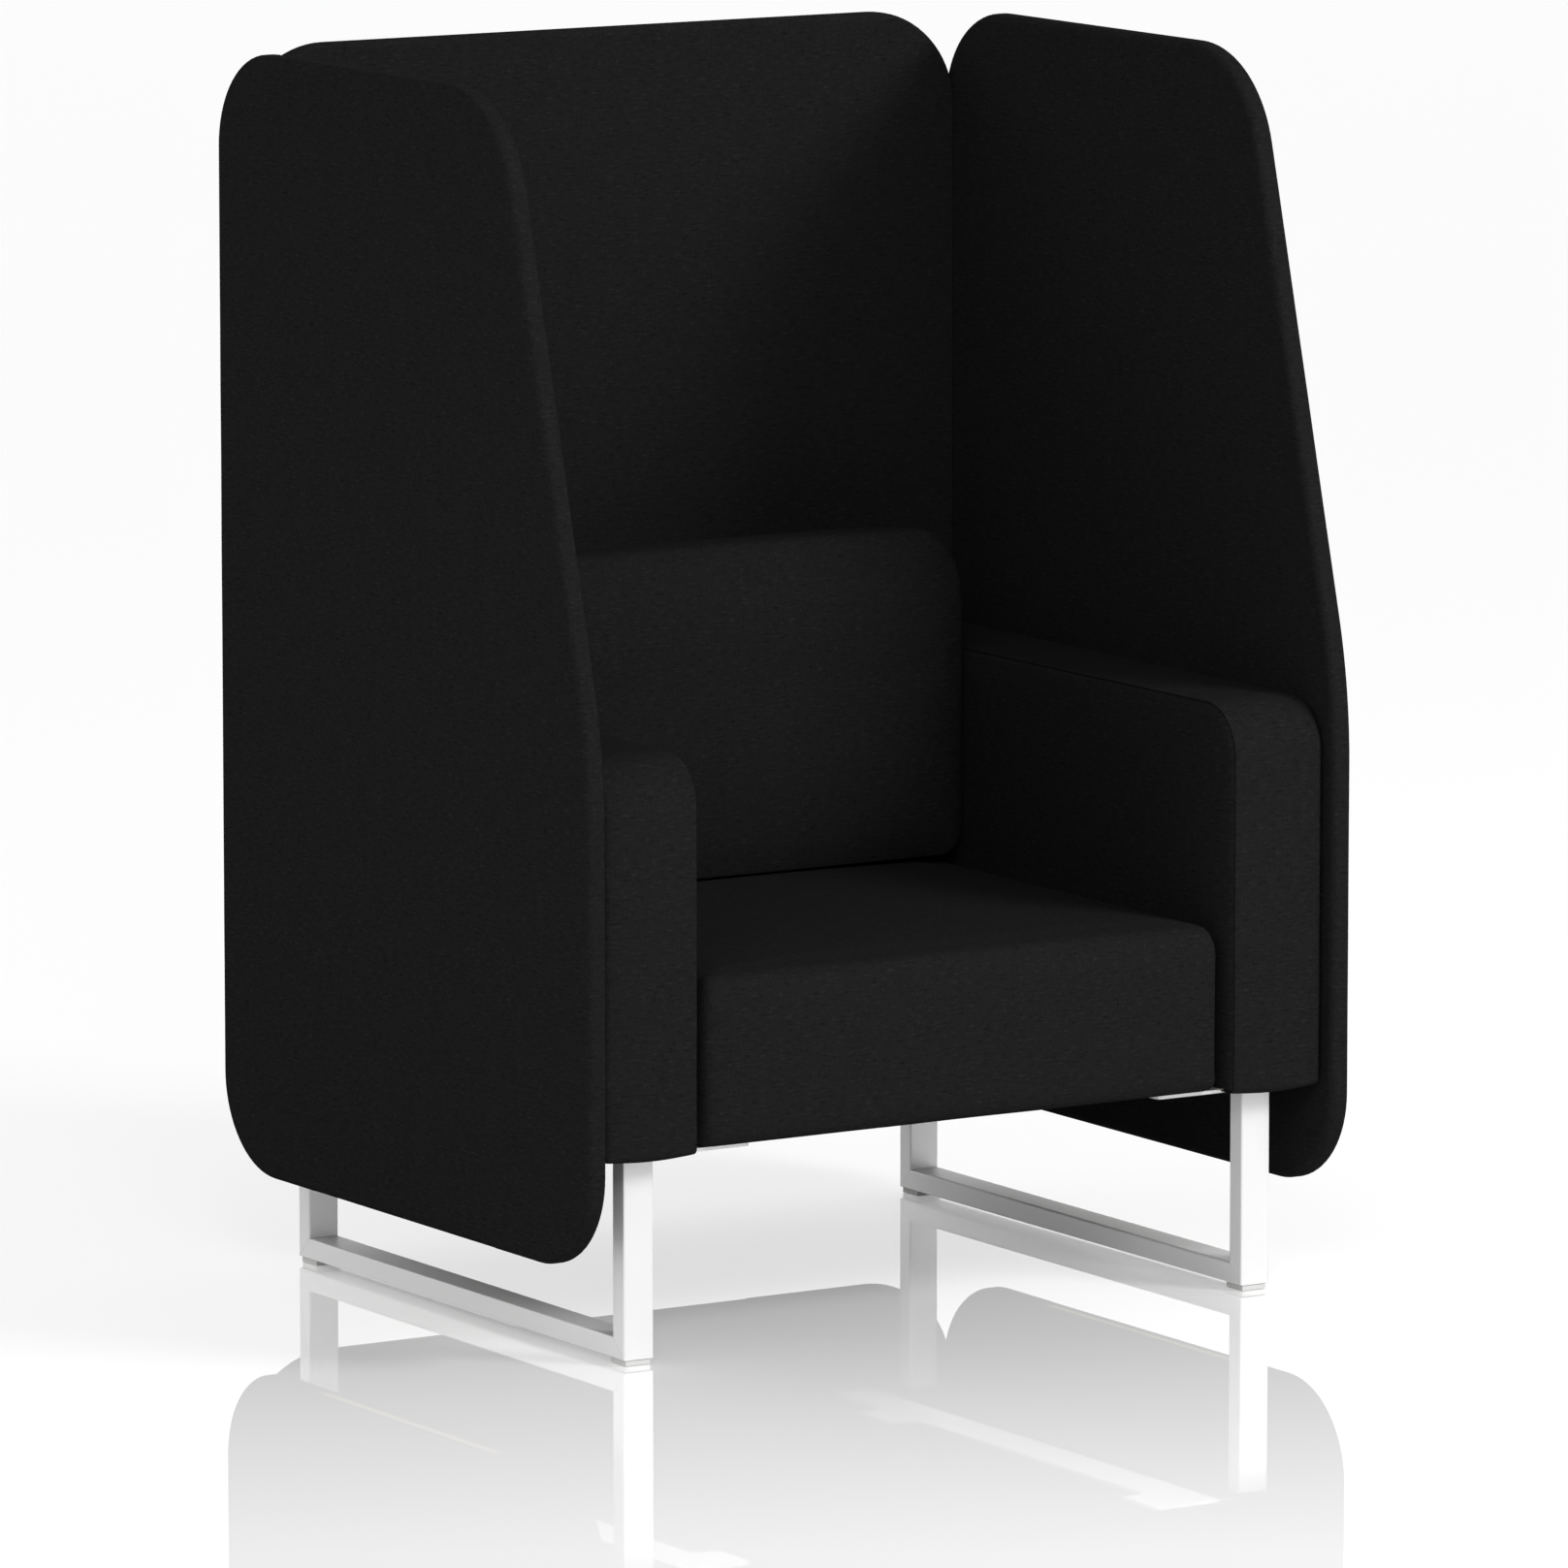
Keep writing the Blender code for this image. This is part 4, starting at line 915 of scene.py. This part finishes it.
def cloth_panel(node, through, sag=0.0):
    """Thin cloth stretched under a frame, cut out round the nodes that pass through it."""
    low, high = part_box(node)
    holes = []
    for name in through:
        hole_low, hole_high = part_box(name)
        holes.append(([edge - FIT for edge in hole_low], [edge + FIT for edge in hole_high]))
    lines = []
    for k in range(2):
        marks = sorted({low[k], high[k]} | {corner[k] for hole in holes for corner in hole})
        fine = marks[:1]
        for mark in marks[1:]:
            start = fine[-1]
            count = max(1, math.ceil((mark - start) / CLOTH_GRID))
            fine += [start + (mark - start) * i / count for i in range(1, count + 1)]
        lines.append(fine)
    width = high[0] - low[0]
    length = high[1] - low[1]
    points = []
    for y in lines[1]:
        for x in lines[0]:
            hang = (math.sin(math.pi * (x - low[0]) / width)
                    * math.sin(math.pi * (y - low[1]) / length)) ** 2
            uneven = 1 + CLOTH_UNEVEN * noise.noise(Vector((x, y, 0.0)) / CLOTH_UNEVEN_SIZE)
            points.append((x, y, low[2] - sag * hang * uneven))
    faces = []
    columns = len(lines[0])
    for j in range(len(lines[1]) - 1):
        for i in range(columns - 1):
            x = (lines[0][i] + lines[0][i + 1]) / 2
            y = (lines[1][j] + lines[1][j + 1]) / 2
            if not any(a[0] < x < b[0] and a[1] < y < b[1] for a, b in holes):
                corner = j * columns + i
                faces.append((corner, corner + 1, corner + columns + 1, corner + columns))
    used = sorted({index for face in faces for index in face})
    place_of = {index: k for k, index in enumerate(used)}
    mesh = bpy.data.meshes.new(node + "_sheet")
    mesh.from_pydata([points[index] for index in used], [],
                     [[place_of[index] for index in face] for face in faces])
    mesh.materials.append(UNDERSIDE)
    made = bpy.data.objects.new(node + "_sheet", mesh)
    scene.collection.objects.link(made)
    thick = made.modifiers.new("thickness", "SOLIDIFY")
    thick.thickness = CLOTH_THICK
    thick.offset = 1.0
    apply_modifiers(made)
    made.data.shade_smooth()
    made.data.set_sharp_from_angle(angle=SHARP_ANGLE)
    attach(made, "root")
    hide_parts(node)


upholstered_seat()
upholstered_back()
cloth_panel("seat_underside_cloth",
            ["%s_%s_seat_screw" % (side, end) for side in SIDES for end in ("front", "rear")],
            SEAT_CLOTH_SAG)
for side in SIDES:
    cloth_panel(side + "_arm_underside_cloth", [side + "_front_upright", side + "_rear_upright"])


# Camera, light and floor

def look_at(made, place, target):
    """Put an object at a place, facing a target."""
    made.location = place
    made.rotation_euler = (Vector(target) - Vector(place)).to_track_quat("-Z", "Y").to_euler()
    scene.collection.objects.link(made)


lens = bpy.data.cameras.new("camera")
lens.sensor_width = SENSOR
lens.lens = FOCAL_PIXELS / IMAGE_PIXELS * SENSOR
lens.clip_end = CAMERA_FAR
camera = bpy.data.objects.new("camera", lens)
look_at(camera, CAMERA_PLACE, CAMERA_TARGET)
scene.camera = camera


def seen_directly(tree):
    """1 for camera, mirror and glass rays that don't light a matt surface."""
    path = tree.nodes.new("ShaderNodeLightPath")
    shown = math_node(tree, "MAXIMUM", path.outputs["Is Camera Ray"], path.outputs["Is Glossy Ray"])
    shown = math_node(tree, "MAXIMUM", shown, path.outputs["Is Transmission Ray"])
    direct = math_node(tree, "LESS_THAN", path.outputs["Diffuse Depth"], 0.5)
    return math_node(tree, "MULTIPLY", shown, direct)


world = bpy.data.worlds.new("studio")
world.use_nodes = True
scene.world = world
tree = world.node_tree
background = tree.nodes["Background"]
background.inputs["Color"].default_value = WHITE
direction = tree.nodes.new("ShaderNodeSeparateXYZ")
tree.links.new(tree.nodes.new("ShaderNodeTexCoord").outputs["Generated"], direction.inputs[0])
sky = ramp(tree, direction.outputs["Z"], SKY_LEVELS)
lean = math_node(tree, "ADD", math_node(tree, "MULTIPLY", direction.outputs["X"], SKY_LEAN), 1.0)
sky = math_node(tree, "MULTIPLY", sky, lean)
tree.links.new(math_node(tree, "MAXIMUM", seen_directly(tree), sky), background.inputs["Strength"])


def softbox(name, place, target, size, power):
    """Large soft lamp."""
    lamp = bpy.data.lights.new(name, "AREA")
    lamp.shape = "RECTANGLE"
    lamp.size = size[0]
    lamp.size_y = size[1]
    lamp.energy = power
    look_at(bpy.data.objects.new(name, lamp), place, target)


softbox("key", **KEY)
softbox("fill", **FILL)

floor_mesh = bpy.data.meshes.new("floor")
floor_corners = rectangle(-FLOOR_REACH, -FLOOR_REACH, FLOOR_REACH, FLOOR_REACH)
floor_mesh.from_pydata([(*corner, 0.0) for corner in floor_corners], [], [(0, 1, 2, 3)])
floor = bpy.data.objects.new("floor", floor_mesh)
floor.location.z = -FIT
scene.collection.objects.link(floor)
floor_paint = bpy.data.materials.new("white_gloss_floor")
floor_paint.use_nodes = True
tree = floor_paint.node_tree
tree.nodes.clear()
matt = add(tree, "ShaderNodeBsdfDiffuse", Color=(*grey(FLOOR_COLOUR), 1.0))
glow = add(tree, "ShaderNodeEmission", Color=WHITE)
lift = math_node(tree, "MULTIPLY", seen_directly(tree), FLOOR_LIFT)
tree.links.new(lift, glow.inputs["Strength"])
lifted = tree.nodes.new("ShaderNodeAddShader")
tree.links.new(matt.outputs[0], lifted.inputs[0])
tree.links.new(glow.outputs[0], lifted.inputs[1])
mirror = add(tree, "ShaderNodeBsdfGlossy", Color=WHITE, Roughness=0.0)
gloss = add(tree, "ShaderNodeFresnel", IOR=FLOOR_IOR)
along = add(tree, "ShaderNodeVectorMath", operation="DOT_PRODUCT")
tree.links.new(tree.nodes.new("ShaderNodeTexCoord").outputs["Object"], along.inputs[0])
along.inputs[1].default_value = VIEW_ALONG
polish = add(tree, "ShaderNodeMapRange", From_Min=POLISH_NEAR[0], From_Max=POLISH_FAR[0],
             To_Min=POLISH_NEAR[1], To_Max=POLISH_FAR[1])
tree.links.new(along.outputs["Value"], polish.inputs[0])
mixed = tree.nodes.new("ShaderNodeMixShader")
tree.links.new(math_node(tree, "MULTIPLY", gloss.outputs[0], polish.outputs[0]), mixed.inputs[0])
tree.links.new(lifted.outputs[0], mixed.inputs[1])
tree.links.new(mirror.outputs[0], mixed.inputs[2])
output = tree.nodes.new("ShaderNodeOutputMaterial")
tree.links.new(mixed.outputs[0], output.inputs["Surface"])
floor_mesh.materials.append(floor_paint)

scene.view_settings.view_transform = "Standard"
